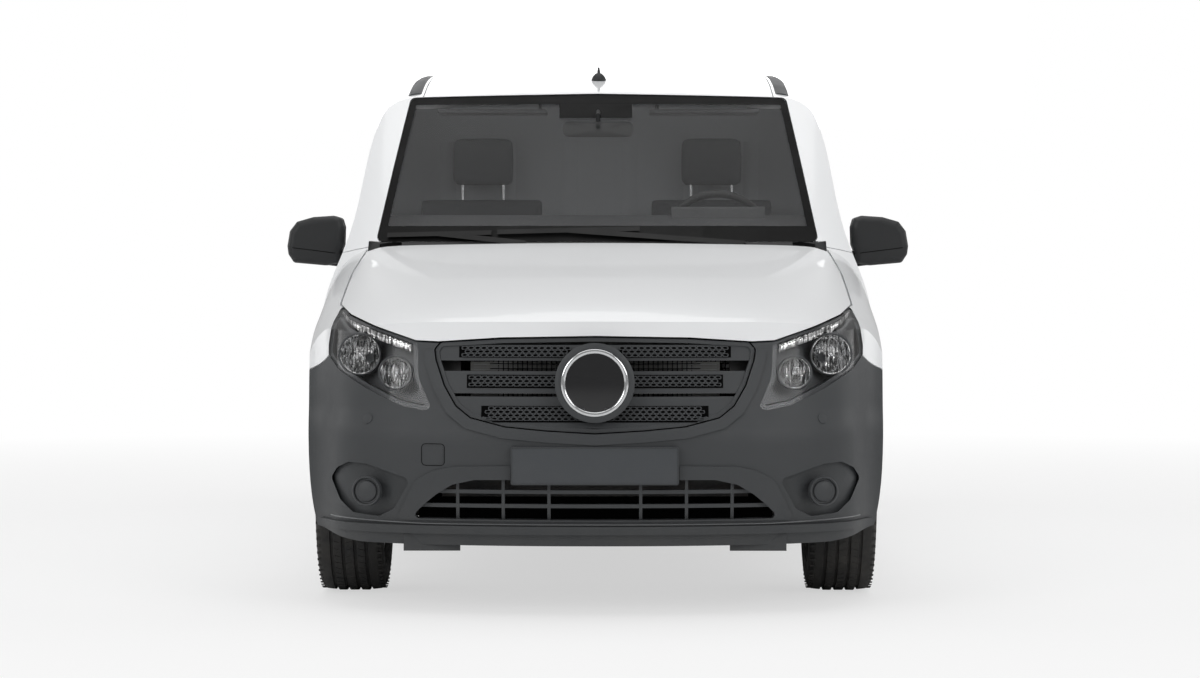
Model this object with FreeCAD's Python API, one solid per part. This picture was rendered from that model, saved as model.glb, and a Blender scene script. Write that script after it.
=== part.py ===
import FreeCAD, Part

import math
import os

from FreeCAD import Vector

# Frame: +Z up, -Y towards the nose, +X the vehicle's left.
# Origin: on the ground, midway along the length and width. Millimetres.

# Overall sizes
length = 5140.0
width = 1928.0
height = 1910.0
wheelbase = 3200.0
front_overhang = 895.0
track = 1650.0
mirror_span = 2244.0

# Wheels, hubs and brakes
tyre_radius = 338.0
tyre_width = 225.0
rim_radius = 203.0
rim_width = 186.0
stub_radius = 20.0
disc_radius = 140.0
brake_x = -22.0
vent_count = 10

# Walls, seams and clearances
wall = 55.0
skin = 28.0
bonnet_thickness = 24.0
shut_gap = 8.0
seam = 4.0
glass = 6.0
fit = 0.3
rim_lip = 35.0

# Levels and the floor
sill_bottom = 300.0
floor_top = 560.0
floor_plate = 50.0
load_board = 12.0
load_board_half = 880.0
rail_height = 100.0
rail_inside = 430.0
rail_width = 60.0
nose_bottom = 218.0
bumper_top = 548.0

# Wheel arches and their liners
arch_radius = 402.0
liner = 15.0
front_liner_x = 475.0
rear_liner_x = 675.0

# Steering
steer_low = (760.0, 220.0)
steer_top = (600.0, 895.0)
strut_radius = 24.0
tower_radius = 100.0
column_rake = 30.0
steering_wheel_x = 440.0
steering_wheel_radius = 185.0

half_length = length / 2
half_width = width / 2
nose_y = -half_length
tail_y = half_length
front_axle_y = nose_y + front_overhang
rear_axle_y = front_axle_y + wheelbase
wheel_x = track / 2

# Half width of the body side at each height, as lost from the widest level
side_profile = [(120, -50), (300, -20), (430, -3), (520, -1), (780, 0), (930, -2),
                (1010, -13), (1180, -63), (1519, -121), (1760, -166), (2000, -214)]
# Width lost on each side along the length
plan_taper = [(-2700, 62), (-2200, 22), (-1700, 10), (-1000, 4), (-200, 0),
              (900, 2), (1900, 16), (2700, 38)]
# Height of the roof's centre line
roof_line = [(-2700, 1700), (-1500, 1705), (-900, 1725), (-620, 1764), (-300, 1828),
             (0, 1870), (350, 1898), (900, height), (1700, height - 6),
             (2300, height - 26), (2700, height - 60)]
roof_corner = 118.0
roof_crown = 34.0
roof_half = 655.0

# Centre lines of the fascia, bonnet, windscreen and tail
fascia_line = [(0, 135), (216, 54), (330, 22), (450, 12), (550, 10), (590, 16), (625, 32),
               (720, 56), (870, 104), (1000, 158), (1500, 400)]
bonnet_line = [(-2750, 640), (-2560, 830), (-2490, 898), (-2400, 952), (-2200, 1020),
               (-1900, 1094), (-1650, 1147), (-1450, 1187), (-1170, 1238), (-800, 1300),
               (-300, 1385)]
bonnet_drop = [(-2600, 104), (-2400, 98), (-2050, 80), (-1600, 50), (-1170, 34), (-800, 30)]
screen_line = [(800, -1950), (1000, -1672), (1190, -1398), (1475, -1040), (1760, -640), (2200, 20)]
tail_line = [(0, 40), (300, 24), (600, 22), (1150, 22), (1500, 40), (1800, 84), (2100, 150)]

# Outlines seen from the side, as (y, z)
front_door_outline = [(-1215, 335), (-1215, 1085), (-1095, 1188), (-455, 1722),
                      (-380, 1738), (-190, 1748), (-190, 335)]
door_window_outline = [(-1040, 1200), (-470, 1662), (-400, 1684), (-245, 1692), (-245, 1200)]
sliding_door_outline = [(-120, 335), (-120, 1752), (1000, 1765), (1000, 335)]
wing_seam = [(-1985, 100), (-1985, 640), (-2020, 745), (-2200, 850), (-2230, 1300)]
pillar_seam = [(-1130, 1105), (-1420, 1235)]
rear_corner_y = 2200.0

# Outlines seen from the front or the rear, as (x, z), left half
windscreen_half = [(786, 1192), (704, 1740), (0, 1752)]
grille_half = [(0, 883), (290, 878), (494, 866), (514, 842), (509, 808), (481, 727), (443, 662),
               (396, 625), (286, 597), (157, 585), (0, 576)]
intake_half = [(0, 434), (382, 431), (452, 415), (504, 383), (543, 351), (587, 306), (0, 304)]
headlamp_outline = [(843, 972), (803, 945), (692, 905), (573, 866), (566, 752), (526, 658),
                    (548, 652), (626, 668), (730, 717), (832, 775), (872, 818), (873, 849),
                    (862, 922)]
fog_outline = [(858, 423), (834, 458), (792, 479), (730, 475), (633, 444), (586, 430), (640, 335), (690, 308),
               (778, 316), (823, 354)]
arch_band_half = [(0, 476), (275, 476), (446, 473), (514, 459), (562, 432), (576, 418), (612, 345), (634, 300),
                  (0, 300)]
rear_door_outline = [(6, floor_top), (800, floor_top), (705, 1765), (6, 1770)]
rear_window_outline = [(75, 1140), (690, 1140), (645, 1640), (75, 1640)]
tail_lamp_outline = [(828, 860), (990, 860), (960, 1320), (786, 1320)]

# Bonnet edge seen from above, as (x, y), left half, from the nose to the rear corner
bonnet_edge = [(846, -2650), (850, -2050), (850, -1900), (838, -1600), (812, -1340)]
bonnet_rear_gap = 48.0
# Bonnet's front lip seen from the front, as (x, z), left half, over the grille and lamp
bonnet_lip = [(0, 885), (300, 880), (500, 867), (573, 870), (692, 909), (803, 949), (846, 977), (900, 1000)]
lip_gap = 6.0
bonnet_crease = [(-2600, 470), (-2450, 516), (-1800, 714), (-1300, 790)]

# Relief of the front bumper, and the plate carrier on it
plate_half = 265.0
plate_low = 417.0
plate_high = 537.0
surround_width = 34.0
relief = 6.0
splitter = (258.0, 284.0)
splitter_reach = 20.0

# Door, bonnet and rear door hinges
hinge_heights = [480, 900]
hinge_tall = 50.0
pin_radius = 2.5
barrel_radius = 5.5
bonnet_hinge_x = 640.0
bonnet_hinge_y = -1318.0
bonnet_hinge_z = 1138.0
cowl_half_width = 812.0
rear_hinge_heights = [700, 1440]
rear_barrel_radius = 8.0

# Lamps, grille, wipers and mirrors
reflector_centres = [(762, 822), (640, 765)]
reflector_radii = [60, 46]
grille_blades = [(806, 856), (703, 773), (594, 693)]
boss_z = 739.0
boss_radius = 111.0
wiper_lines = [((-745, 1218), (-373, 1226), -250), ((-352, 1228), (150, 1240), 520)]
wiper_foot = 1188.0
mirror_y = -1010.0

# Lashing points in the load floor
lashing_x = 500.0
lashing_y = (300.0, 1900.0)
lashing_radius = 5.5

# Derived places
door_front = front_door_outline[0][0]
door_rear = front_door_outline[-1][0]
hinge_y = door_front + 5


# Curves and surfaces of the body

def smooth(table, t):
    """Cubic through (position, value) pairs, level at local peaks."""
    if t <= table[0][0]:
        (a, fa), (b, fb) = table[0], table[1]
        return fa + (fb - fa) * (t - a) / (b - a)
    if t >= table[-1][0]:
        (a, fa), (b, fb) = table[-2], table[-1]
        return fb + (fb - fa) * (t - b) / (b - a)
    slopes = [(table[i + 1][1] - table[i][1]) / (table[i + 1][0] - table[i][0])
              for i in range(len(table) - 1)]
    i = max(k for k in range(len(table) - 1) if table[k][0] <= t)

    def tangent(k):
        if k == 0 or k == len(table) - 1:
            return slopes[0] if k == 0 else slopes[-1]
        before, after = slopes[k - 1], slopes[k]
        if before * after <= 0:
            return 0.0
        return 2 * before * after / (before + after)

    step = table[i + 1][0] - table[i][0]
    u = (t - table[i][0]) / step
    return ((1 + 2 * u) * (1 - u) ** 2 * table[i][1] + u * (1 - u) ** 2 * step * tangent(i)
            + u * u * (3 - 2 * u) * table[i + 1][1] + u * u * (u - 1) * step * tangent(i + 1))


def side_x(y, z):
    """Half width of the body side."""
    return half_width + smooth(side_profile, z) - smooth(plan_taper, y)


def rounding(n, power):
    """n to a power, carried on in a straight line just past the body's edge."""
    edge = 1.03
    return n ** power if n < edge else edge ** power + power * edge ** (power - 1) * (n - edge)


def fascia_y(x, z):
    n = abs(x) / (half_width - 16)
    return nose_y + smooth(fascia_line, z) + 215 * n ** 2.2 + 290 * rounding(n, 9)


def bonnet_z(x, y):
    n = abs(x) / (half_width - 40)
    past = max(0, abs(x) - smooth(bonnet_crease, y))
    fall = 0.12 * (past - 60 if past > 120 else past * past / 240)
    return smooth(bonnet_line, y) - smooth(bonnet_drop, y) * n ** 2 - 90 * rounding(n, 12) - fall


def screen_y(x, z):
    n = abs(x) / (half_width + smooth(side_profile, z))
    up = min(max((z - 1190) / 570, 0), 1)
    return smooth(screen_line, z) + (125 - 50 * up) * n ** 2 + (80 - 30 * up) * rounding(n, 8)


def rear_y(x, z):
    n = abs(x) / (half_width + smooth(side_profile, z))
    return tail_y - smooth(tail_line, z) - 24 * n ** 2 - 60 * rounding(n, 10)


def patch(rows):
    surface = Part.BSplineSurface()
    surface.interpolate(rows)
    return surface.toShape()


def spread(low, high, steps):
    return [low + (high - low) * k / steps for k in range(steps + 1)]


def section(y, inset):
    """Body section at one station, from the right sill over the roof to the left sill."""
    top = smooth(roof_line, y)
    corner = top - roof_corner
    levels = spread(120, corner, 8)
    half = [(side_x(y, z) - inset, z) for z in levels]
    x0, z0 = half[-1]
    lean = (half[-1][0] - half[-2][0]) / (half[-1][1] - half[-2][1])
    x3 = roof_half + 20 - inset * 0.6
    z3 = top - inset - roof_crown * (x3 / 800) ** 2
    x1, z1 = x0 + lean * 62, z0 + 62
    x2, z2 = x3 + 60, z3 - 60 * roof_crown * 2 * x3 / 800 ** 2
    for k in (1, 2, 3, 4):
        t = k / 4
        a, b, c, d = (1 - t) ** 3, 3 * t * (1 - t) ** 2, 3 * t * t * (1 - t), t ** 3
        half.append((a * x0 + b * x1 + c * x2 + d * x3, a * z0 + b * z1 + c * z2 + d * z3))
    for x in (560, 400, 200, 0):
        half.append((x, top - inset - roof_crown * (x / 800) ** 2))
    left = [Vector(x, y, z) for x, z in half]
    right = [Vector(-x, y, z) for x, z in half]
    return right + list(reversed(left[:-1]))


def tube(inset):
    """Solid under the body's side and roof skin."""
    stations = [-2700, -2400, -2100, -1800, -1500, -1200, -950, -750, -560, -380, -180, 50,
                350, 700, 1100, 1500, 1900, 2250, 2500, 2700]
    skin_face = patch([section(y, inset) for y in stations])
    ends = [e for e in skin_face.Edges if e.BoundBox.YLength < 1]
    sills = [e for e in skin_face.Edges if e.BoundBox.YLength > 1]
    lines = [Part.makeLine(e.Vertexes[0].Point, e.Vertexes[-1].Point) for e in ends]
    faces = [skin_face, Part.Face(Part.Wire(Part.sortEdges(sills + lines)[0]))]
    for end, line in zip(ends, lines):
        faces.append(Part.Face(Part.Wire(Part.sortEdges([end, line])[0])))
    shell = Part.Shell(faces)
    shell.sewShape()
    solid = Part.Solid(shell)
    if solid.Volume < 0:
        solid.reverse()
    return solid


def fascia_layer(near, far):
    """Slab between two depths behind the fascia."""
    levels = [0, 110, 216, 270, 330, 390, 450, 510, 560, 600, 640, 680, 740, 800, 870, 940,
              1020, 1120, 1300, 1600, 2200]
    rows = [[Vector(x, fascia_y(x, z) + near, z) for x in spread(-1010, 1010, 22)] for z in levels]
    return patch(rows).extrude(Vector(0, far - near, 0))


def bonnet_layer(near, far):
    """Slab between two depths under the bonnet; a negative far stands above it."""
    stations = [-2750, -2650, -2560, -2490, -2440, -2380, -2300, -2200, -2050, -1900, -1700,
                -1500, -1300, -1100, -900, -600, -300]
    rows = [[Vector(x, y, bonnet_z(x, y) - near) for x in spread(-1020, 1020, 22)] for y in stations]
    return patch(rows).extrude(Vector(0, 0, near - far))


def screen_layer(near, far):
    """Slab between two depths behind the windscreen, measured along the length."""
    levels = [800, 900, 1000, 1100, 1190, 1280, 1380, 1480, 1580, 1680, 1760, 1850, 2000, 2200]
    rows = [[Vector(x, screen_y(x, z) + near, z) for x in spread(-1000, 1000, 22)] for z in levels]
    return patch(rows).extrude(Vector(0, far - near, 0))


def tail_layer(near, far):
    """Slab between two depths ahead of the tail."""
    levels = [0, 150, 300, 450, 600, 780, 960, 1140, 1320, 1500, 1680, 1860, 2100]
    rows = [[Vector(x, rear_y(x, z) - near, z) for x in spread(-1010, 1010, 22)] for z in levels]
    return patch(rows).extrude(Vector(0, near - far, 0))


def side_layer(near, far, low, high):
    """Slab between two depths behind the left side, between two heights."""
    rows = [[Vector(side_x(y, z) - near, y, z) for z in spread(low, high, 8)]
            for y in spread(-1300, 1300, 16)]
    return patch(rows).extrude(Vector(near - far, 0, 0))


def envelope(inset):
    """Body volume inside the skin at a depth."""
    body = tube(inset)
    body = body.cut(fascia_layer(inset, -1500))
    body = body.cut(tail_layer(inset, -1500))
    return body.cut(bonnet_layer(inset, -1600).common(screen_layer(inset * 1.6, -3000)))


# Building blocks

def box(x0, x1, y0, y1, z0, z1):
    return Part.makeBox(x1 - x0, y1 - y0, z1 - z0, Vector(x0, y0, z0))


def rod(start, end, radius):
    a, b = Vector(*start), Vector(*end)
    return Part.makeCylinder(radius, (b - a).Length, a, b - a)


def mirrored(shape):
    return shape.mirror(Vector(0, 0, 0), Vector(1, 0, 0))


def pair(shape):
    return Part.makeCompound([shape, mirrored(shape)])


def joined(shapes):
    return shapes[0].fuse(shapes[1:]) if len(shapes) > 1 else shapes[0]


def grown(points, by):
    """The outline with every edge moved outwards by a distance."""
    count = len(points)
    area = sum(points[i - 1][0] * points[i][1] - points[i][0] * points[i - 1][1]
               for i in range(count))
    turn = 1 if area > 0 else -1
    edges = []
    for i in range(count):
        (ax, ay), (bx, by_) = points[i - 1], points[i]
        size = math.hypot(bx - ax, by_ - ay)
        nx, ny = turn * (by_ - ay) / size, -turn * (bx - ax) / size
        edges.append((nx, ny, nx * ax + ny * ay + by))
    result = []
    for i in range(count):
        (a1, b1, c1), (a2, b2, c2) = edges[i], edges[(i + 1) % count]
        det = a1 * b2 - a2 * b1
        if abs(det) < 0.02:
            result.append((points[i][0] + a1 * by, points[i][1] + b1 * by))
        else:
            result.append(((c1 * b2 - c2 * b1) / det, (a1 * c2 - a2 * c1) / det))
    return result


def rounded(points, radius, place):
    """Closed wire through the corners, each turned by an arc, where place sets each point."""
    count = len(points)
    edges, stops = [], []
    for i, (cx, cy) in enumerate(points):
        (px, py), (qx, qy) = points[i - 1], points[(i + 1) % count]
        back, ahead = math.hypot(px - cx, py - cy), math.hypot(qx - cx, qy - cy)
        ax, ay, bx, by = (px - cx) / back, (py - cy) / back, (qx - cx) / ahead, (qy - cy) / ahead
        half = math.acos(max(-1.0, min(1.0, ax * bx + ay * by))) / 2
        cut = min(radius / math.tan(half), 0.45 * back, 0.45 * ahead)
        if cut < 1:
            stops.append((place(cx, cy), place(cx, cy)))
            continue
        bend = cut * math.tan(half)
        mx, my = ax + bx, ay + by
        size = math.hypot(mx, my)
        reach = bend / math.sin(half) - bend
        start, end = place(cx + ax * cut, cy + ay * cut), place(cx + bx * cut, cy + by * cut)
        middle = place(cx + mx / size * reach, cy + my / size * reach)
        edges.append(Part.Arc(start, middle, end).toShape())
        stops.append((start, end))
    for i in range(count):
        edges.append(Part.makeLine(stops[i - 1][1], stops[i][0]))
    return Part.Wire(Part.sortEdges(edges)[0])


def along_x(points, x0, x1, radius=0):
    """Prism of a (y, z) outline."""
    wire = rounded(points, radius, lambda y, z: Vector(x0, y, z))
    return Part.Face(wire).extrude(Vector(x1 - x0, 0, 0))


def along_y(points, y0, y1, radius=0):
    """Prism of an (x, z) outline."""
    wire = rounded(points, radius, lambda x, z: Vector(x, y0, z))
    return Part.Face(wire).extrude(Vector(0, y1 - y0, 0))


def along_z(points, z0, z1, radius=0):
    """Prism of an (x, y) outline."""
    wire = rounded(points, radius, lambda x, y: Vector(x, y, z0))
    return Part.Face(wire).extrude(Vector(0, 0, z1 - z0))


def whole(half):
    """Full outline from its left half, which runs from bottom or top on the middle line outwards."""
    return half + [(-x, z) for x, z in reversed(half) if x > 0]


def turned(profile, start, direction):
    """Solid of a (distance along, radius) profile about an axis."""
    start, direction = Vector(*start), Vector(*direction).normalize()
    side = Vector(0, 0, 1).cross(direction)
    if side.Length < 0.1:
        side = Vector(1, 0, 0)
    side.normalize()
    points = [start + direction * along + side * radius for along, radius in profile]
    return Part.Face(Part.makePolygon(points + [points[0]])).revolve(start, direction, 360)


def strip(points, x0, x1, gap):
    """Thin prisms along a (y, z) seam line."""
    parts = []
    for (ay, az), (by, bz) in zip(points, points[1:]):
        size = math.hypot(by - ay, bz - az)
        ny, nz = -(bz - az) / size * gap / 2, (by - ay) / size * gap / 2
        parts.append(along_x([(ay - ny, az - nz), (by - ny, bz - nz), (by + ny, bz + nz),
                              (ay + ny, az + nz)], x0, x1))
    return parts


# Body panels

def bonnet_outline():
    rear = [(x, screen_y(x, 1190) - bonnet_rear_gap) for x in spread(bonnet_edge[-1][0] - rim_lip - 10, 0, 8)]
    left = bonnet_edge + rear
    return left + [(-x, y) for x, y in reversed(left) if x > 0]


def above_lip(drop):
    """Space above the bonnet's front lip, lowered by a distance, as a prism along the length."""
    low = [(x, z - drop) for x, z in bonnet_lip]
    left = low + [(low[-1][0], 1500)]
    return along_y(left + [(-x, z) for x, z in reversed(left) if x > 0], nose_y - 100, -1000)


def bonnet_gap():
    """What the body leaves open for the bonnet: its rebate, its front lip's, and the engine bay."""
    outline = bonnet_outline()
    rebate = bonnet_layer(bonnet_thickness + 6, -400).common(
        along_z(grown(outline, shut_gap), 700, 1500)).common(above_lip(lip_gap))
    lip = fascia_layer(-100, bonnet_thickness + 6).common(
        along_z(grown(outline, shut_gap), 700, 1100)).common(above_lip(lip_gap))
    bay = along_z(grown(outline, -rim_lip), 700, 1500).common(
        box(-half_width, half_width, nose_y + 130, -1180, 700, 1500)).common(above_lip(0))
    return [rebate, lip, bay]


def arch(y, x_inside, radius):
    return rod((x_inside, y, tyre_radius), (half_width + 60, y, tyre_radius), radius)


def open_shell(outer, middle, inner):
    """Left half of the body's walls with openings, arches and seam grooves cut."""
    shell = outer.cut(inner).common(box(0, half_width + 60, nose_y - 60, tail_y + 60, 100, height + 50))
    grooves = [box(roof_half - seam / 2, roof_half + seam / 2, -900, tail_y, 1500, height + 40)]
    grooves += strip(wing_seam, 300, half_width + 60, seam)
    grooves += strip(pillar_seam, 700, half_width + 60, seam)
    grooves.append(box(0, half_width + 60, rear_corner_y, tail_y, bumper_top - seam / 2,
                       bumper_top + seam / 2))
    grooves.append(box(700, half_width + 60, rear_corner_y - seam / 2, rear_corner_y + seam / 2,
                       200, bumper_top))
    grooves = Part.makeCompound([g.cut(middle) for g in grooves])
    cutters = bonnet_gap() + [
        along_x(grown(front_door_outline, shut_gap), 690, half_width + 60, 45 + shut_gap),
        along_y(grown(rear_door_outline, shut_gap), rear_corner_y + 60, tail_y + 60, 40),
        along_y(whole(windscreen_half), -1520, -548, 22),
        along_y(whole(grille_half), nose_y - 60, nose_y + 400, 14),
        along_y(grown(headlamp_outline, seam), nose_y - 60, -1900, 14),
        along_y(grown(tail_lamp_outline, seam), rear_corner_y + 60, tail_y + 60, 20),
        arch(front_axle_y, 560, arch_radius),
        arch(rear_axle_y, rear_liner_x, arch_radius),
        box(0, half_width + 60, -1985, rear_corner_y, 100, sill_bottom),
        box(0, half_width + 60, rear_corner_y, tail_y + 60, 100, sill_bottom - 10),
        along_x([(nose_y - 60, 100), (nose_y - 60, nose_bottom), (-2350, nose_bottom + 4),
                 (-1985, 275), (-1985, 100)], -10, half_width + 60),
    ]
    for cutter in [grooves] + cutters:
        shell = shell.cut(cutter)
    return largest(shell)


def wing(shell):
    """Left front wing with its hinge post and the door's hinge arms."""
    region = along_x(wing_seam + [(-1420, 1300)] + list(reversed(pillar_seam)) + [(-1130, 100)],
                     480, half_width + 60)
    panel = shell.common(region).cut(box(0, cowl_half_width, -1460, -1100, 900, 1300))
    panel = panel.cut(box(0, cowl_half_width + 6, -1460, bonnet_hinge_y + 20, 900, 1300))
    panel = panel.common(box(0, half_width + 60, -2300, door_front + 40, 100, 1300))
    for z in hinge_heights:
        panel = panel.fuse(hinge_arm(z))
    return largest(panel)


def largest(shape):
    return max(shape.Solids, key=lambda s: s.Volume)


def hinge_x():
    return side_x(hinge_y, 780) - 6


def hinge_arm(z):
    x, y, top = hinge_x(), hinge_y, z + hinge_tall
    arm = rod((x, y, z), (x, y, top), barrel_radius)
    arm = arm.fuse(box(x - 13, x - 3, door_front - 45, y + 3, z, top))
    return arm.cut(rod((x, y, z - 5), (x, y, top + 5), pin_radius + fit))


def front_door(outer, inner):
    """Left front door with its window cut and its hinge pins."""
    slab = along_x(front_door_outline, 700, half_width + 60, 45)
    door = largest(outer.common(slab).cut(inner))
    door = door.cut(along_x(door_window_outline, 600, half_width + 60, 30))
    x, y = hinge_x(), hinge_y
    for z in hinge_heights:
        low, high = z - 5, z + hinge_tall + 5
        door = door.cut(box(x - 18, x + 30, door_front - 20, y + 8.5, low, high))
        door = door.fuse(rod((x, y, low - 15), (x, y, high + 15), pin_radius))
    return door


def door_glass():
    pane = along_x(grown(door_window_outline, -fit), 600, half_width + 60, 30)
    return side_layer(8, 8 + glass, 1150, 1740).common(pane)


def side_panel(shell):
    """Left side from the windscreen pillar to the tail."""
    start = door_front + 40 + seam
    region = along_x([(start, 100), (start, 1065)] + pillar_seam + [(-1420, 2000),
                      (tail_y + 60, 2000), (tail_y + 60, bumper_top), (rear_corner_y, bumper_top),
                      (rear_corner_y, 100)], 600, half_width + 60)
    panel = shell.common(region)
    panel = panel.cut(box(0, roof_half, nose_y, tail_y + 60, 1500, height + 50))
    panel = panel.cut(box(0, 800, rear_corner_y, tail_y + 60, 500, floor_top))
    return panel.cut(box(0, cowl_half_width, -1500, -1100, 900, 1196))


def sliding_door(outer, middle, inner):
    """Right side loading door, plain outside, stepped into its opening inside."""
    opening = along_x(grown(sliding_door_outline, seam + 1), 690, half_width + 60, 45)
    face = along_x(sliding_door_outline, 680, half_width + 70, 42)
    door = outer.common(along_x(grown(sliding_door_outline, seam + 1 - fit), 690, half_width + 60, 45))
    door = largest(door.cut(inner))
    return door.cut(opening.cut(face).cut(middle)), opening


def bumper_relief():
    """Raised surrounds of grille and intake, the splitter and a deflector, left half."""
    reach = box(0, half_width - 30, nose_y - 60, -2150, 100, 1000)
    surround = along_y(grown(whole(grille_half), surround_width), nose_y - 60, nose_y + 400, 40)
    surround = surround.cut(along_y(whole(grille_half), nose_y - 60, nose_y + 400, 14))
    surround = surround.common(box(0, half_width, nose_y - 60, nose_y + 400, 500, 840))
    band = along_y(whole(arch_band_half), nose_y - 60, nose_y + 400, 20)
    band = band.cut(box(-plate_half - 2, plate_half + 2, nose_y - 60, nose_y + 400, plate_low - 2, plate_high + 2))
    edge = fascia_layer(-splitter_reach, 20).common(reach.common(
        box(0, half_width, nose_y - 60, -2150, splitter[0], splitter[1])))
    flap = box(430, 610, nose_y + 120, nose_y + 140, 200, 260)
    return [fascia_layer(-relief, 20).common(surround), fascia_layer(-relief, 20).common(band), edge, flap]


def bumper(shell):
    """Whole front bumper with its intake bars and fog recesses."""
    region = along_x([(nose_y - 60, 100), (nose_y - 60, 1300)] + list(reversed(wing_seam)),
                     -10, half_width + 60)
    half = largest(shell.common(region).cut(along_z(bonnet_outline(), 905, 1300).common(above_lip(lip_gap))))
    half = half.cut(along_y(fog_outline, nose_y - 60, nose_y + 600, 20).common(fascia_layer(26, -300)))
    half = half.fuse(bumper_relief())
    half = half.cut(along_y(whole(intake_half), nose_y - 60, nose_y + 300, 18))
    bars = [box(0, 560, nose_y - 60, nose_y + 200, z - 6, z + 6) for z in (348, 393)]
    bars += [box(x - 5, x + 5, nose_y - 60, nose_y + 200, 296, 440) for x in (145, 290, 435)]
    lattice = fascia_layer(14, 44).common(along_y(grown(whole(intake_half), 2), nose_y - 60, nose_y + 300, 18))
    half = half.fuse([lattice.common(b) for b in bars])
    half = half.fuse(rod((728, -2440, 390), (728, -2360, 390), 36))
    cover = half.fuse(mirrored(half))
    return cover.removeSplitter() if cover.isValid() else cover


def roof(shell):
    left = shell.common(box(0, roof_half, -900, tail_y + 60, 1500, height + 50))
    return left.fuse(mirrored(left))


def rear_bumper(shell):
    half = shell.common(box(0, half_width + 60, rear_corner_y, tail_y + 60, 100, bumper_top))
    pad = tail_layer(-22, 20).common(box(-10, 845, rear_corner_y, tail_y + 60, 330, 532))
    half = half.fuse(pad.common(box(0, 900, rear_corner_y, tail_y + 60, 300, 560)))
    return half.fuse(mirrored(half))


def bonnet(outer):
    lid = outer.common(along_z(bonnet_outline(), 700, 1500)).common(above_lip(0))
    lip = lid.common(fascia_layer(-100, bonnet_thickness))
    lid = largest(lid.common(bonnet_layer(bonnet_thickness, -400)).fuse(lip))
    for x in (-bonnet_hinge_x, bonnet_hinge_x):
        arm = along_x([(-1540, bonnet_hinge_z + 15), (bonnet_hinge_y - 14, bonnet_hinge_z + 10),
                       (bonnet_hinge_y + 4, bonnet_hinge_z + 10), (bonnet_hinge_y + 8, bonnet_hinge_z - 8),
                       (bonnet_hinge_y - 30, bonnet_hinge_z - 22), (-1540, bonnet_hinge_z - 6)],
                      x - 4, x + 4)
        arm = arm.cut(bonnet_layer(bonnet_thickness - 4, -400))
        pin = rod((x - 16, bonnet_hinge_y, bonnet_hinge_z), (x + 16, bonnet_hinge_y, bonnet_hinge_z), 5)
        lid = lid.fuse([arm, pin])
    return lid


def firewall(lining):
    """Plate between engine bay and cab, with the cowl under the windscreen and hinge lugs."""
    reach = cowl_half_width - fit
    cowl = bonnet_layer(12, 40).common(box(-reach, reach, -1520, -1250, 1000, 1300))
    lid_room = along_z(grown(bonnet_outline(), shut_gap), 700, 1500)
    cowl = cowl.cut(lid_room)
    foot = screen_layer(3, 40).common(box(-770, 770, -1500, -1100, 1130, windscreen_half[0][1] - fit))
    foot = foot.cut(lid_room)
    upstand = bonnet_layer(14, 150).common(box(-reach, reach, -1275, -1240, 1000, 1300))
    plate = box(-1000, 1000, -1275, -1235, floor_top - floor_plate, 1120).common(lining)
    for x in (-bonnet_hinge_x, bonnet_hinge_x):
        cowl = cowl.cut(box(x - 24, x + 24, -1420, -1286, bonnet_hinge_z - 40, 1250))
        foot = foot.cut(box(x - 24, x + 24, -1420, -1286, bonnet_hinge_z - 40, 1180))
    lugs = []
    for x in (-bonnet_hinge_x, bonnet_hinge_x):
        for side in (-1, 1):
            x0 = x + side * 11 - 3.5
            lug = box(x0, x0 + 7, bonnet_hinge_y - 14, -1255, bonnet_hinge_z - 14, bonnet_hinge_z + 12)
            lugs.append(lug.cut(rod((x0 - 5, bonnet_hinge_y, bonnet_hinge_z),
                                    (x0 + 15, bonnet_hinge_y, bonnet_hinge_z), 5 + fit)))
    corner = rod((690, bonnet_hinge_y, bonnet_hinge_z), (half_width, bonnet_hinge_y, bonnet_hinge_z), 58)
    return largest(joined([plate, upstand, cowl, foot] + lugs).cut(pair(corner)))


def windscreen():
    return screen_layer(5, 5 + glass * 1.6).common(
        along_y(grown(whole(windscreen_half), -fit), -1520, -548, 22))


# Doors at the rear, their glass and hinges

def rear_hinge_point(z):
    """Point on the left rear door's hinge axis at a height."""
    (x0, z0), (x1, z1) = rear_door_outline[1], rear_door_outline[2]
    low, high = rear_hinge_heights
    x = x0 + (x1 - x0) * (z - z0) / (z1 - z0) - 7
    y_low, y_high = (rear_y(x0 + (x1 - x0) * (h - z0) / (z1 - z0), h) for h in (low, high))
    return (x, y_low + (y_high - y_low) * (z - low) / (high - low) + 9, z)


def rear_door(outer, inner):
    """Left rear door with its window cut and its hinge knuckles."""
    slab = along_y(rear_door_outline, rear_corner_y + 60, tail_y + 60, 40)
    door = largest(outer.common(slab).cut(inner))
    door = door.cut(along_y(rear_window_outline, rear_corner_y + 60, tail_y + 60, 60))
    for z in rear_hinge_heights:
        x, y, _ = rear_hinge_point(z)
        leaf = box(x - 50, x, y - 24, y - 3, z - 40, z + 40)
        knuckle = rod(rear_hinge_point(z - 40), rear_hinge_point(z + 40), rear_barrel_radius)
        pin = rod(rear_hinge_point(z - 30), rear_hinge_point(z + 30), 4)
        space = box(x - 14, x + 40, y - 40, y + 20, z - 20, z + 20)
        door = door.fuse(leaf.fuse(knuckle)).cut(space).fuse(pin)
    return door


def rear_hinge_leaves():
    """Body side of the left rear door's hinges."""
    leaves = []
    for z in rear_hinge_heights:
        x, y, _ = rear_hinge_point(z)
        leaf = box(x, x + 52, y - 6, y, z - 18, z + 18).fuse(box(x + 22, x + 52, y - 48, y, z - 18, z + 18))
        leaf = leaf.fuse(rod(rear_hinge_point(z - 18), rear_hinge_point(z + 18), rear_barrel_radius))
        leaves.append(leaf.cut(rod(rear_hinge_point(z - 25), rear_hinge_point(z + 25), 4 + fit)))
    return leaves


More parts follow.
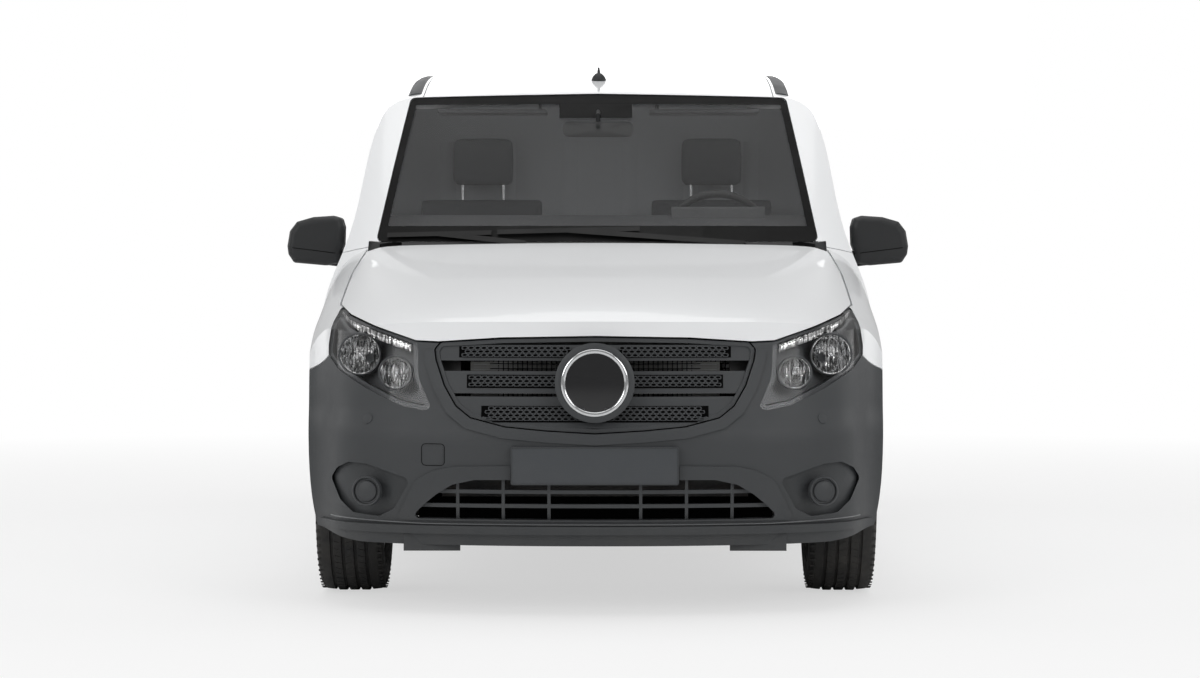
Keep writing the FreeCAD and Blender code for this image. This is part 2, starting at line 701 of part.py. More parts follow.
def rear_glass():
    pane = along_y(grown(rear_window_outline, -fit), rear_corner_y + 60, tail_y + 60, 60)
    return tail_layer(8, 8 + glass).common(pane)


# Lamps, grille and trim on the nose and tail

def headlamp(outer):
    """Left headlamp: an open bucket with two round reflectors, and the clear lens over it."""
    opening = along_y(grown(headlamp_outline, seam - fit), nose_y - 60, -1900, 14)
    block = outer.common(opening).cut(bonnet_gap())
    back = fascia_layer(0, 118)
    lens_inside = outer.translated(Vector(-4, 7, -4))
    lens = block.cut(lens_inside).common(fascia_layer(-20, 150))
    bucket = block.common(lens_inside.translated(Vector(-fit, fit * 2, -fit))).common(back)
    hollow = along_y(grown(headlamp_outline, -10), nose_y - 60, -1900, 10).common(fascia_layer(-60, 106))
    bucket = bucket.cut(hollow)
    for (x, z), radius in zip(reflector_centres, reflector_radii):
        y = fascia_y(x, z)
        cup = turned([(0, 0), (0, radius * 0.45), (-radius * 0.35, radius * 0.8), (-radius * 0.9, radius + 3),
                      (-radius * 0.9, radius - 2), (-radius * 0.38, radius * 0.72), (-8, radius * 0.4), (-8, 0)],
                     (x, y + 110, z), (0, 1, 0))
        bucket = bucket.fuse(cup.common(outer.translated(Vector(-12, 21, -12))))
    return largest(bucket), largest(lens)


def grille():
    """Fascia grille: surround with three blades each side, and a plain round boss let into them."""
    depth = along_y(grown(whole(grille_half), -seam), nose_y - 60, nose_y + 400, 14)
    hole = along_y(grown(whole(grille_half), -seam - 12), nose_y - 60, nose_y + 400, 12)
    ring = fascia_layer(6, 60).common(depth.cut(hole))
    hole = along_y(grown(whole(grille_half), -seam - 9), nose_y - 60, nose_y + 400, 12)
    blades = []
    for low, high in grille_blades:
        outline = [(-600, low), (-600, high), (600, high), (600, low)]
        blades.append(fascia_layer(10, 40).common(along_y(outline, nose_y - 60, nose_y + 400)).common(hole))
    seat = rod((0, nose_y - 20, boss_z), (0, nose_y + 200, boss_z), boss_radius + fit)
    boss = rod((0, nose_y + 10, boss_z), (0, nose_y + 75, boss_z), boss_radius)
    boss = boss.fuse(rod((0, nose_y + 4, boss_z), (0, nose_y + 12, boss_z), boss_radius - 12))
    return Part.makeCompound([joined([ring] + blades).cut(seat), boss])


def number_plate():
    outline = [(-plate_half, plate_low), (plate_half, plate_low), (plate_half, plate_high), (-plate_half, plate_high)]
    plate = along_y(outline, nose_y, nose_y + 60, 8)
    return plate.common(fascia_layer(-fit, -200))


def tail_lamp(outer):
    block = outer.common(along_y(grown(tail_lamp_outline, seam - fit), rear_corner_y + 60, tail_y + 60, 20))
    return largest(block.cut(outer.translated(Vector(-38, -38, 0))))


def wipers():
    """Two wipers parked along the foot of the windscreen."""
    solids = []
    for start, end, pivot in wiper_lines:
        middle = ((start[0] + end[0]) / 2, (start[1] + end[1]) / 2)
        shape = slat(start, end, 8, 8).fuse(slat((pivot, wiper_foot), middle, 9, 9))
        y = screen_y(pivot, wiper_foot) - 17
        spindle = rod((pivot, y, wiper_foot - 40), (pivot, y, wiper_foot), 5)
        shape = screen_layer(-13, -5).common(shape).fuse(spindle)
        solids.append(largest(shape.cut(bonnet_layer(12 - fit, 80))))
    return Part.makeCompound(solids)


def slat(start, end, low, high):
    """Upright bar along the windscreen's foot, with the half heights of its two ends."""
    (ax, az), (bx, bz) = sorted([start, end])
    return along_y([(ax, az - low), (bx, bz - high), (bx, bz + high), (ax, az + low)], -1600, -1100)


def mirror(outer):
    """Left door mirror: arm and housing, drawn at its tip's reach."""
    y0, y1 = mirror_y - 62, mirror_y + 42
    tip = mirror_span / 2
    outline = [(tip, 1180), (tip - 9, 1234), (tip - 35, 1268), (tip - 94, 1285), (tip - 169, 1290),
               (tip - 197, 1281), (tip - 206, 1250), (tip - 204, 1187), (tip - 192, 1156), (tip - 192, 1118),
               (tip - 137, 1110), (tip - 24, 1120), (tip - 4, 1150)]
    shell = along_y(outline, y0, y1, 14)
    front = [e for e in shell.Edges if abs(e.BoundBox.YMin - y0) < 1 and abs(e.BoundBox.YMax - y0) < 1]
    shell = shell.makeFillet(24, front)
    arm = along_y([(840, 1104), (918, 1104), (985, 1112), (985, 1150), (918, 1164), (840, 1166)],
                  mirror_y - 26, mirror_y + 26, 10)
    body = shell.fuse(arm).cut(box(940, tip - 20, y1 - 12, y1 + 5, 1135, 1272))
    return largest(body.cut(outer.translated(Vector(fit, 0, 0))))


# Floor, structure and running gear

def floor_pan(lining):
    """Load floor with sill rebates, rear wheelhouses and chassis rails."""
    low = floor_top - floor_plate
    plate = box(-1000, 1000, -1235 - 40, tail_y - 118, low, floor_top).common(lining)
    for side in (-1, 1):
        edge = half_width - wall - 46
        x0, x1 = sorted((side * edge, side * (half_width + 10)))
        plate = plate.cut(box(x0, x1, door_front - 25, door_rear + 25, low - 5, floor_top + 5))
    plate = plate.cut(box(-1000, 1000, -1275 - 1, -1235, low - 5, floor_top + 5))
    for side in (1, -1):
        house = rod((rear_liner_x, rear_axle_y, tyre_radius), (half_width, rear_axle_y, tyre_radius),
                    arch_radius + liner)
        house = house.common(box(600, half_width, rear_axle_y - 430, rear_axle_y + 430, low, 900))
        space = rod((rear_liner_x + liner, rear_axle_y, tyre_radius),
                    (half_width + 90, rear_axle_y, tyre_radius), arch_radius)
        if side < 0:
            house, space = mirrored(house), mirrored(space)
        plate = plate.fuse(house.common(lining)).cut(space)
    board = whole([(load_board_half, 90), (load_board_half, rear_axle_y - 440),
                   (rear_liner_x - 5, rear_axle_y - 440), (rear_liner_x - 5, rear_axle_y + 440),
                   (load_board_half, rear_axle_y + 440), (load_board_half, tail_y - 240)])
    plate = plate.fuse(along_z(board, floor_top, floor_top + load_board))
    for side in (-1, 1):
        x0, x1 = sorted((side * rail_inside, side * (rail_inside + rail_width)))
        rail = box(x0, x1, -1235, tail_y - 150, low - rail_height, low)
        kick = box(x0 - 5, x1 + 5, rear_axle_y - 260, rear_axle_y + 260, low - rail_height - 5, low - rail_height + 50)
        plate = plate.fuse(rail.cut(kick))
        for y in lashing_y:
            plate = plate.cut(rod((side * lashing_x, y, low - 5), (side * lashing_x, y, floor_top + load_board + 5),
                                  lashing_radius))
    return plate.removeSplitter()


def steer_point(z):
    """Point of the left steering axis at a height."""
    (x0, z0), (x1, z1) = steer_low, steer_top
    return (x0 + (x1 - x0) * (z - z0) / (z1 - z0), front_axle_y, z)


def front_structure(lining):
    """Front rails, wheelhouse liners with strut towers, radiator carrier and bumper beam."""
    low = floor_top - floor_plate - rail_height
    x0, x1 = rail_inside, rail_inside + rail_width
    rail = box(x0, x1, nose_y + 130, -1275 + 40 - fit, low, low + rail_height)
    outer = rod((front_liner_x, front_axle_y, tyre_radius), (half_width, front_axle_y, tyre_radius),
                arch_radius + liner)
    outer = outer.common(box(400, half_width, front_axle_y - 430, front_axle_y + 430, low, 900)).common(lining)
    space = rod((front_liner_x + liner, front_axle_y, tyre_radius),
                (half_width + 90, front_axle_y, tyre_radius), arch_radius)
    tower = rod(steer_point(700), steer_point(900), tower_radius)
    room = rod(steer_point(560), steer_point(888), tower_radius - 12)
    side = rail.fuse([outer, tower]).cut(space).cut(room)
    side = side.cut(rod(steer_point(870), steer_point(930), 9 + fit))
    side = side.cut(box(400, half_width, -1275 - fit, -1100, low + rail_height, 900))
    grille_room = fascia_layer(-200, 66)
    upright = box(x0, x1, nose_y + 170, nose_y + 240, low, 845).cut(grille_room)
    side = side.fuse(upright)
    bar = box(-x1, x1, nose_y + 170, nose_y + 210, 805, 845).cut(grille_room)
    bars = [box(-x1, x1, nose_y + 170, nose_y + 210, low - 40, low), bar,
            box(-460, 460, nose_y + 115, nose_y + 165, low, low + rail_height)]
    return largest(joined([side, mirrored(side)] + bars))


def front_subframe():
    """Crossmember with steering rack and the two lower arms."""
    y = front_axle_y
    cross = box(-420, 420, y - 60, y + 230, 200, 262)
    cross = cross.cut(box(-320, 320, y - 10, y + 180, 190, 235))
    arm = along_z([(756, y - 14), (756, y + 14), (650, y + 40), (430, y + 215), (400, y + 215),
                   (400, y - 50), (650, y - 42)], 205, 235, 6)
    eye = steer_point(220)[0]
    arm = arm.fuse(rod((eye, y, 205), (eye, y, 235), 18)).cut(rod(steer_point(190), steer_point(250), 9 + fit))
    posts = [box(rail_inside - 30, rail_inside + rail_width, y + a, y + a + 50, 215, floor_top - floor_plate - rail_height)
             for a in (-60, 180)]
    half = arm.fuse(posts)
    rack = rod((-470, y + 130, 300), (470, y + 130, 300), 26)
    saddles = [box(x - 25, x + 25, y + 105, y + 155, 262, 300) for x in (-250, 250)]
    return joined([cross, half, mirrored(half), rack] + saddles)


def knuckle():
    """Left upright with stub axle, ball joint pin, steering arm and brake caliper."""
    y, x = front_axle_y, wheel_x
    body = along_y([(x - 108, 250), (x - 64, 236), (x - 62, 440), (x - 70, 505), (x - 136, 505), (x - 136, 452),
                    (x - 108, 430)], y - 40, y + 40, 12)
    stub = rod((x - 80, y, tyre_radius), (x + 16, y, tyre_radius), stub_radius)
    pin = rod(steer_point(200), steer_point(300), 9)
    ball = Part.makeSphere(17, Vector(*steer_point(256)))
    arm = along_z([(x - 108, y + 20), (x - 70, y + 20), (x - 88, y + 128), (x - 112, y + 142), (x - 128, y + 128)],
                  292, 308, 8)
    caliper = box(x - 84, x - 6, y + 60, y + 172, tyre_radius - 70, tyre_radius + 70)
    ring = rod((x - 90, y, tyre_radius), (x, y, tyre_radius), 178)
    ring = ring.cut(rod((x - 95, y, tyre_radius), (x + 5, y, tyre_radius), 92))
    slot = rod((x + brake_x - 28, y, tyre_radius), (x + brake_x + 6, y, tyre_radius), disc_radius + 8)
    bracket = box(x - 84, x - 66, y + 20, y + 110, tyre_radius - 40, tyre_radius + 40)
    return joined([body, stub, pin, ball, arm, caliper.common(ring).cut(slot), bracket])


def strut():
    """Left strut on the steering axis: damper tube, spring seats, sleeve and top pin."""
    parts = [rod(steer_point(506), steer_point(800), strut_radius),
             rod(steer_point(795), steer_point(905), 9),
             rod(steer_point(694), steer_point(700), 70),
             rod(steer_point(700), steer_point(858), 56),
             rod(steer_point(858), steer_point(866), 66)]
    return joined(parts)


def rear_suspension():
    """Beam axle with stub axles, trailing arms, springs and dampers."""
    y, z, x = rear_axle_y, tyre_radius, wheel_x
    low = floor_top - floor_plate - rail_height
    beam = rod((-(x - 64), y, z), (x - 64, y, z), 36)
    parts = [beam]
    for side in (-1, 1):
        parts.append(rod((side * (x - 70), y, z), (side * (x + 16), y, z), stub_radius))
        parts.append(rod((side * (x - 76), y, z), (side * (x - 62), y, z), 118))
        arm_x = rail_inside + rail_width / 2
        x0, x1 = sorted((side * (arm_x - 22), side * (arm_x + 22)))
        parts.append(along_x([(y + 30, 300), (y + 30, 350), (y - 380, low - 8), (y - 430, low - 8),
                              (y - 430, low - 60), (y - 380, low - 60)], x0, x1, 6))
        parts.append(box(x0, x1, y - 430, y - 380, low - 10, low))
        parts.append(rod((side * arm_x, y, z + 30), (side * arm_x, y, low + 50), 44))
        parts.append(rod((side * (arm_x + 75), y + 40, z - 10), (side * (arm_x + 75), y + 120, low + rail_height - 12), 24))
    return joined(parts)


def wheel_disc():
    """Left wheel disc with hub, brake disc and centre cap."""
    y, z, x = front_axle_y, tyre_radius, wheel_x
    seat = rim_radius - fit
    half = rim_width / 2
    barrel = [(-half, seat + 10), (-half + 7, seat + 10), (-half + 7, seat), (half - 7, seat), (half - 7, seat + 10),
              (half, seat + 10), (half, seat - 5), (half - 12, seat - 12), (-half + 12, seat - 12), (-half, seat - 5)]
    face = [(45, 30), (45, 70), (16, 98), (24, 150), (42, seat - 10)]
    disc = face + [(a - 9, r) for a, r in reversed(face)]
    wheel = turned(barrel, (x, y, z), (1, 0, 0)).fuse(turned(disc, (x, y, z), (1, 0, 0)))
    hub = rod((x - 55, y, z), (x + 40, y, z), 58)
    brake = rod((x + brake_x - 22, y, z), (x + brake_x, y, z), disc_radius)
    cap = turned([(36, 0), (36, 42), (46, 42), (56, 34), (62, 18), (64, 0)], (x, y, z), (1, 0, 0))
    wheel = wheel.fuse([hub, brake, cap]).cut(rod((x - 60, y, z), (x + 22, y, z), stub_radius + fit))
    for k in range(vent_count):
        angle = math.radians(360 * k / vent_count)
        py, pz = y + 128 * math.cos(angle), z + 128 * math.sin(angle)
        wheel = wheel.cut(rod((x, py, pz), (x + 60, py, pz), 17))
    return wheel


def tyre():
    """Left tyre as one closed ring with round shoulders."""
    y, z, x = front_axle_y, tyre_radius, wheel_x
    r, w, bead = tyre_radius, tyre_width / 2, rim_width / 2 - 7 - fit
    side = [(bead, rim_radius), (bead, rim_radius + 11), (bead + 5, rim_radius + 20), (w - 2, r - 88), (w, r - 66),
            (w - 2, r - 36), (w - 9, r - 16), (w - 22, r - 5), (w - 42, r - 1)]
    profile = [(-a, b) for a, b in side] + [(0, r)] + list(reversed(side))
    return turned(profile, (x, y, z), (1, 0, 0))


def engine():
    """Plain block with an arm to each chassis rail."""
    reach = rail_inside - fit
    arms = box(-reach, reach, -1900, -1840, floor_top - floor_plate - rail_height + 10, 500)
    return box(-330, 300, -2230, -1420, 330, 880).fuse(arms)


def radiator():
    return box(-400, 400, nose_y + 210 + fit, nose_y + 250, 372, 800)


def exhaust():
    """Pipe from the engine to the tail with one silencer."""
    x = -250
    runs = [(x, -1420 + fit, 430), (x, -1370, 430), (x, -1150, 470), (x, 2350, 470)]
    parts = [rod(a, b, 26) for a, b in zip(runs, runs[1:])]
    parts += [Part.makeSphere(26, Vector(*point)) for point in runs[1:3]]
    silencer = along_x([(500, 365), (500, 490), (1000, 490), (1000, 365)], x - 110, x + 110, 50)
    hangers = [box(x - 10, x + 10, y - 10, y + 10, 470, floor_top - floor_plate) for y in (-600, 300, 2200)]
    return joined(parts + [silencer] + hangers)


def fuel_tank():
    return along_x([(-350, 320), (-350, 509.7), (450, 509.7), (450, 320)], -60, 400, 40)


# Cab

def seat(x0, x1, high):
    back = [(-640, 800), (-655, 868), (-622, 925), (-240, 905), (-150, high - 20), (-118, high),
            (-62, high), (-40, high - 30), (-105, 830), (-130, 800)]
    return along_x(back, x0, x1, 26)


def headrest(x):
    pad = box(x - 130, x + 130, -100, -15, 1415, 1618)
    pad = pad.makeFillet(38, pad.Edges)
    posts = [rod((x + a, -70, 1370), (x + a, -62, 1440), 7) for a in (-80, 80)]
    return [pad] + posts


def driver_seat():
    x = steering_wheel_x
    return joined([seat(x - 250, x + 250, 1395)] + headrest(x))


def bench_seat():
    return joined([seat(-710, -205, 1395), seat(-206, 120, 1300)] + headrest(-455))


def seat_bases():
    return Part.makeCompound([
        along_x([(-600, floor_top + fit), (-580, 799.7), (-150, 799.7), (-130, floor_top + fit)], x0, x1)
        for x0, x1 in ((steering_wheel_x - 215, steering_wheel_x + 215), (-690, 100))])


def dashboard():
    """Dashboard with binnacle, and the fixed steering column."""
    profile = [(-1234.7, 900), (-1234.7, 1195), (-1080, 1240), (-880, 1295), (-800, 1285), (-750, 1190),
               (-790, 1050), (-830, 880), (-960, 820), (-1180, 840)]
    board = along_x(profile, -775, 775, 24)
    hood = along_x([(-940, 1260), (-910, 1325), (-815, 1322), (-785, 1285), (-810, 1240)],
                   steering_wheel_x - 170, steering_wheel_x + 170, 18)
    column = rod(column_point(62), column_point(420), 30)
    board = joined([board, hood, column]).cut(rod(column_point(50), column_point(160), 12 + fit))
    for side in (-1, 1):
        x0, x1 = sorted((side * 715, side * 780))
        board = board.cut(box(x0, x1, -1240, -1140, 1188, 1300))
    return board.cut(screen_layer(-400, 60).common(box(-900, 900, -1500, -900, 1100, 1500)))


def column_point(along):
    """Point on the steering column's axis, measured down from the wheel's centre."""
    a = math.radians(column_rake)
    return (steering_wheel_x, -700 - along * math.cos(a), 1214 - along * math.sin(a))


def steering_wheel():
    a = math.radians(column_rake)
    axis = Vector(0, -math.cos(a), -math.sin(a))
    centre = Vector(*column_point(0))
    rim = Part.makeTorus(steering_wheel_radius, 14, centre, axis)
    hub = rod(column_point(-14), column_point(50), 44)
    shaft = rod(column_point(40), column_point(150), 12)
    spokes = []
    up = axis.cross(Vector(1, 0, 0))
    for angle in (0, 180, 270):
        t = math.radians(angle)
        tip = centre + Vector(1, 0, 0) * (steering_wheel_radius * math.cos(t)) + up * (steering_wheel_radius * math.sin(t))
        spokes.append(rod(centre, tip, 11))
    return joined([rim, hub, shaft] + spokes)


def load_bulkhead(lining):
    return box(-1000, 1000, 60, 85, floor_top + fit, height).common(lining)


def rear_wheel(shape):
    return shape.translated(Vector(0, wheelbase, 0))


def build():
    """Every piece by name."""
    outer, middle, inner = envelope(0), envelope(skin), envelope(wall)
    lining = envelope(wall + fit)
    shell = open_shell(outer, middle, inner)
    half_width_box = box(0, half_width + 60, nose_y - 60, tail_y + 60, 100, height + 50)
    left_outer, left_inner = outer.common(half_width_box), inner
    parts = {}
    parts["floor_pan"] = floor_pan(lining)
    parts["front_structure"] = front_structure(lining)
    parts["firewall"] = firewall(lining)
    parts["front_wings"] = pair(wing(shell))
    left = side_panel(shell)
    left = largest(left.fuse(rear_hinge_leaves()))
    parts["side_panel_left"] = left
    door, opening = sliding_door(left_outer, middle, left_inner)
    parts["side_panel_right"] = mirrored(left.cut(opening))
    parts["sliding_door"] = mirrored(door)
    parts["roof_panel"] = roof(shell)
    parts["front_bumper"] = bumper(shell)
    parts["rear_bumper"] = rear_bumper(shell)
    parts["bonnet"] = bonnet(outer)
    parts["front_door_left"] = front_door(left_outer, left_inner)
    parts["rear_door_left"] = rear_door(left_outer, left_inner)
    parts["door_glass_left"] = door_glass()
    parts["rear_glass_left"] = rear_glass()
    parts["mirror_left"] = mirror(left_outer)
    parts["knuckle_left"] = knuckle()
    parts["strut_left"] = strut()
    parts["wheel_front_left"], parts["tyre_front_left"] = wheel_disc(), tyre()
    parts["wheel_rear_left"] = rear_wheel(parts["wheel_front_left"])
    parts["tyre_rear_left"] = rear_wheel(parts["tyre_front_left"])
    for name in [n for n in parts if n.endswith("_left") and n != "side_panel_left"]:
        parts[name.replace("_left", "_right")] = mirrored(parts[name])
    bucket, lens = headlamp(left_outer)
    parts["headlamps"], parts["headlamp_lenses"] = pair(bucket), pair(lens)
    parts["tail_lamps"] = pair(tail_lamp(left_outer))
    parts["grille"] = grille()
    parts["number_plate"] = number_plate()
    parts["windscreen"] = windscreen()
    parts["wipers"] = wipers()
    parts["front_subframe"] = front_subframe()
    parts["rear_suspension"] = rear_suspension()
    parts["engine_block"] = engine()
    parts["radiator"] = radiator()
    parts["exhaust"] = exhaust()
    parts["fuel_tank"] = fuel_tank()
    parts["driver_seat"] = driver_seat()
    parts["bench_seat"] = bench_seat()
    parts["seat_bases"] = seat_bases()
    parts["dashboard"] = dashboard()
    parts["steering_wheel"] = steering_wheel()
    parts["load_bulkhead"] = load_bulkhead(lining)
    return parts


def main():
    os.makedirs("parts", exist_ok=True)
    for name, shape in build().items():
        shape.exportStep(os.path.join("parts", name + ".step"))


if __name__ == "__main__":
    main()
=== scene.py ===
import math

import bmesh
import bpy
from mathutils import Matrix, Vector
from mathutils.bvhtree import BVHTree


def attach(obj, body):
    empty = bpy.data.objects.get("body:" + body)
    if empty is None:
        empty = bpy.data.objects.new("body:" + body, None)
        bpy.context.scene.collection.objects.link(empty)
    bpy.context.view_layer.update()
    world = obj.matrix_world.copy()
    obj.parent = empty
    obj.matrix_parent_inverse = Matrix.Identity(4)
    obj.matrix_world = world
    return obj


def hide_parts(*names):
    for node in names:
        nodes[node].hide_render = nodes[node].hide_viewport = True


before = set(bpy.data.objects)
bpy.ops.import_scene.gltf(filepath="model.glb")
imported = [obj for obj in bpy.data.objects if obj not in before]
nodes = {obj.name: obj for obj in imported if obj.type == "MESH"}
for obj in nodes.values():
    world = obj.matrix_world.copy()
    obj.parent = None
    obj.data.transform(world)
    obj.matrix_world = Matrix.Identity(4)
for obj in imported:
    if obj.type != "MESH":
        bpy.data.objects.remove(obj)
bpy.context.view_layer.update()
scene = bpy.context.scene
print("stage: frame loaded")

# camera, light and floor: the photograph's view, straight at the nose from 10 m away
view = {
    "position": (0.07, -12.675, 1.10),
    "lens": 96.45,      # mm on a 36 mm sensor
    "down": 1.2616,     # degrees
    "left": 0.303,      # degrees
}


def makeCamera():
    camera = bpy.data.cameras.new("photoCamera")
    camera.lens = view["lens"]
    camera.sensor_width = 36
    camera.clip_end = 400
    holder = bpy.data.objects.new("photoCamera", camera)
    scene.collection.objects.link(holder)
    holder.location = view["position"]
    holder.rotation_euler = (math.radians(90 - view["down"]), 0, math.radians(view["left"]))
    scene.camera = holder


# name: (place, aimed at, size, watts)
softBoxes = {
    "overhead": ((0, -1.0, 6.5), (0, -0.3, 0), (7, 9), 225),
    "frontLeft": ((-6.5, -9.0, 4.2), (0, -1.5, 0.9), (5, 4), 205),
    "frontRight": ((6.5, -9.0, 4.2), (0, -1.5, 0.9), (5, 4), 205),
    "sideLeft": ((-8.0, 1.5, 3.5), (0, 0.5, 0.9), (6, 4), 120),
    "sideRight": ((8.0, 1.5, 3.5), (0, 0.5, 0.9), (6, 4), 120),
    "behind": ((0, 10.0, 4.0), (0, 1.5, 1.0), (6, 4), 140),
    "cabin": ((0, -0.56, 1.640), (0, 0.30, 1.15), (1.2, 0.10), 0.45),
}


def makeLights():
    for name, (place, aim, size, watts) in softBoxes.items():
        light = bpy.data.lights.new(name, "AREA")
        light.shape = "RECTANGLE"
        light.size, light.size_y = size
        light.energy = watts
        holder = bpy.data.objects.new(name, light)
        scene.collection.objects.link(holder)
        holder.visible_camera = holder.visible_glossy = name != "cabin"
        holder.location = place
        holder.rotation_euler = (Vector(aim) - Vector(place)).to_track_quat("-Z", "Y").to_euler()


studio = {
    "worldLight": 0.34,        # the backdrop's strength where the camera doesn't see it
    "floor": (160, 0.0015),    # width, and drop below the tyres
    "floorGlow": {"From Min": 3.0, "From Max": 9.0, "To Min": 0.6, "To Max": 1.0},
}


def whiteWhereSeen(tree, lit):
    # 1 for camera and transmission rays, so the backdrop shows white without lighting the van
    path = tree.nodes.new("ShaderNodeLightPath")
    seen = tree.nodes.new("ShaderNodeMath")
    seen.operation = "MAXIMUM"
    tree.links.new(path.outputs["Is Camera Ray"], seen.inputs[0])
    tree.links.new(path.outputs["Is Transmission Ray"], seen.inputs[1])
    strength = tree.nodes.new("ShaderNodeMapRange")
    strength.inputs["To Min"].default_value = lit
    strength.inputs["To Max"].default_value = 1.0
    tree.links.new(seen.outputs[0], strength.inputs["Value"])
    return strength


def makeWorld():
    world = bpy.data.worlds.new("studio")
    scene.world = world
    world.use_nodes = True
    tree = world.node_tree
    background = tree.nodes["Background"]
    background.inputs["Color"].default_value = (1, 1, 1, 1)
    strength = whiteWhereSeen(tree, studio["worldLight"])
    tree.links.new(strength.outputs["Result"], background.inputs["Strength"])


def makeFloor():
    width, drop = studio["floor"]
    bpy.ops.mesh.primitive_plane_add(size=width, location=(0, 0, -drop))
    floor = bpy.context.object
    floor.name = "floor"
    material = bpy.data.materials.new("paleFloor")
    material.use_nodes = True
    tree = material.node_tree
    shader = tree.nodes["Principled BSDF"]
    shader.inputs["Base Color"].default_value = (0.86, 0.86, 0.86, 1)
    shader.inputs["Roughness"].default_value = 0.9
    shader.inputs["Specular IOR Level"].default_value = 0.1
    glow = tree.nodes.new("ShaderNodeEmission")
    mix = tree.nodes.new("ShaderNodeMixShader")
    path = tree.nodes.new("ShaderNodeLightPath")
    place = tree.nodes.new("ShaderNodeTexCoord")
    away = tree.nodes.new("ShaderNodeVectorMath")
    away.operation = "LENGTH"
    far = tree.nodes.new("ShaderNodeMapRange")   # plain floor near the van, white backdrop beyond it
    for label, value in studio["floorGlow"].items():
        far.inputs[label].default_value = value
    share = tree.nodes.new("ShaderNodeMath")
    share.operation = "MULTIPLY"
    tree.links.new(place.outputs["Object"], away.inputs[0])
    tree.links.new(away.outputs["Value"], far.inputs["Value"])
    tree.links.new(far.outputs["Result"], share.inputs[1])
    tree.links.new(path.outputs["Is Camera Ray"], share.inputs[0])
    tree.links.new(share.outputs[0], mix.inputs["Fac"])
    tree.links.new(shader.outputs[0], mix.inputs[1])
    tree.links.new(glow.outputs[0], mix.inputs[2])
    tree.links.new(mix.outputs[0], tree.nodes["Material Output"].inputs["Surface"])
    floor.data.materials.append(material)


scene.view_settings.view_transform = "Standard"
makeCamera()
makeLights()
makeWorld()
makeFloor()
print("stage: studio")

# materials
def newTree(name, kind, inputs, outputs):
    tree = bpy.data.node_groups.new(name, kind)
    for label, socketKind, value in inputs:
        socket = tree.interface.new_socket(name=label, in_out="INPUT", socket_type=socketKind)
        if value is not None:
            socket.default_value = value
    for label, socketKind in outputs:
        tree.interface.new_socket(name=label, in_out="OUTPUT", socket_type=socketKind)
    return tree, tree.nodes.new("NodeGroupInput"), tree.nodes.new("NodeGroupOutput")


def addNode(tree, kind, settings=None, **values):
    node = tree.nodes.new(kind)
    for key, value in (settings or {}).items():
        setattr(node, key, value)
    for key, value in values.items():
        node.inputs[key.replace("_", " ")].default_value = value
    return node


def makeGrainGroup():
    # moulded or sprayed surface: a fine height and a slow change of gloss
    group, given, result = newTree(
        "fineGrain", "ShaderNodeTree",
        [("Vector", "NodeSocketVector", None), ("Fine", "NodeSocketFloat", 900.0),
         ("Coarse", "NodeSocketFloat", 6.0), ("Gloss Low", "NodeSocketFloat", 0.35),
         ("Gloss High", "NodeSocketFloat", 0.5)],
        [("Height", "NodeSocketFloat"), ("Roughness", "NodeSocketFloat")])
    fine = addNode(group, "ShaderNodeTexNoise", Detail=2.0, Roughness=0.6)
    coarse = addNode(group, "ShaderNodeTexNoise", Detail=5.0, Roughness=0.65)
    spread = addNode(group, "ShaderNodeMapRange", From_Min=0.3, From_Max=0.7)
    for node, size in ((fine, "Fine"), (coarse, "Coarse")):
        group.links.new(given.outputs["Vector"], node.inputs["Vector"])
        group.links.new(given.outputs[size], node.inputs["Scale"])
    group.links.new(coarse.outputs["Fac"], spread.inputs["Value"])
    group.links.new(given.outputs["Gloss Low"], spread.inputs["To Min"])
    group.links.new(given.outputs["Gloss High"], spread.inputs["To Max"])
    group.links.new(fine.outputs["Fac"], result.inputs["Height"])
    group.links.new(spread.outputs["Result"], result.inputs["Roughness"])
    return group


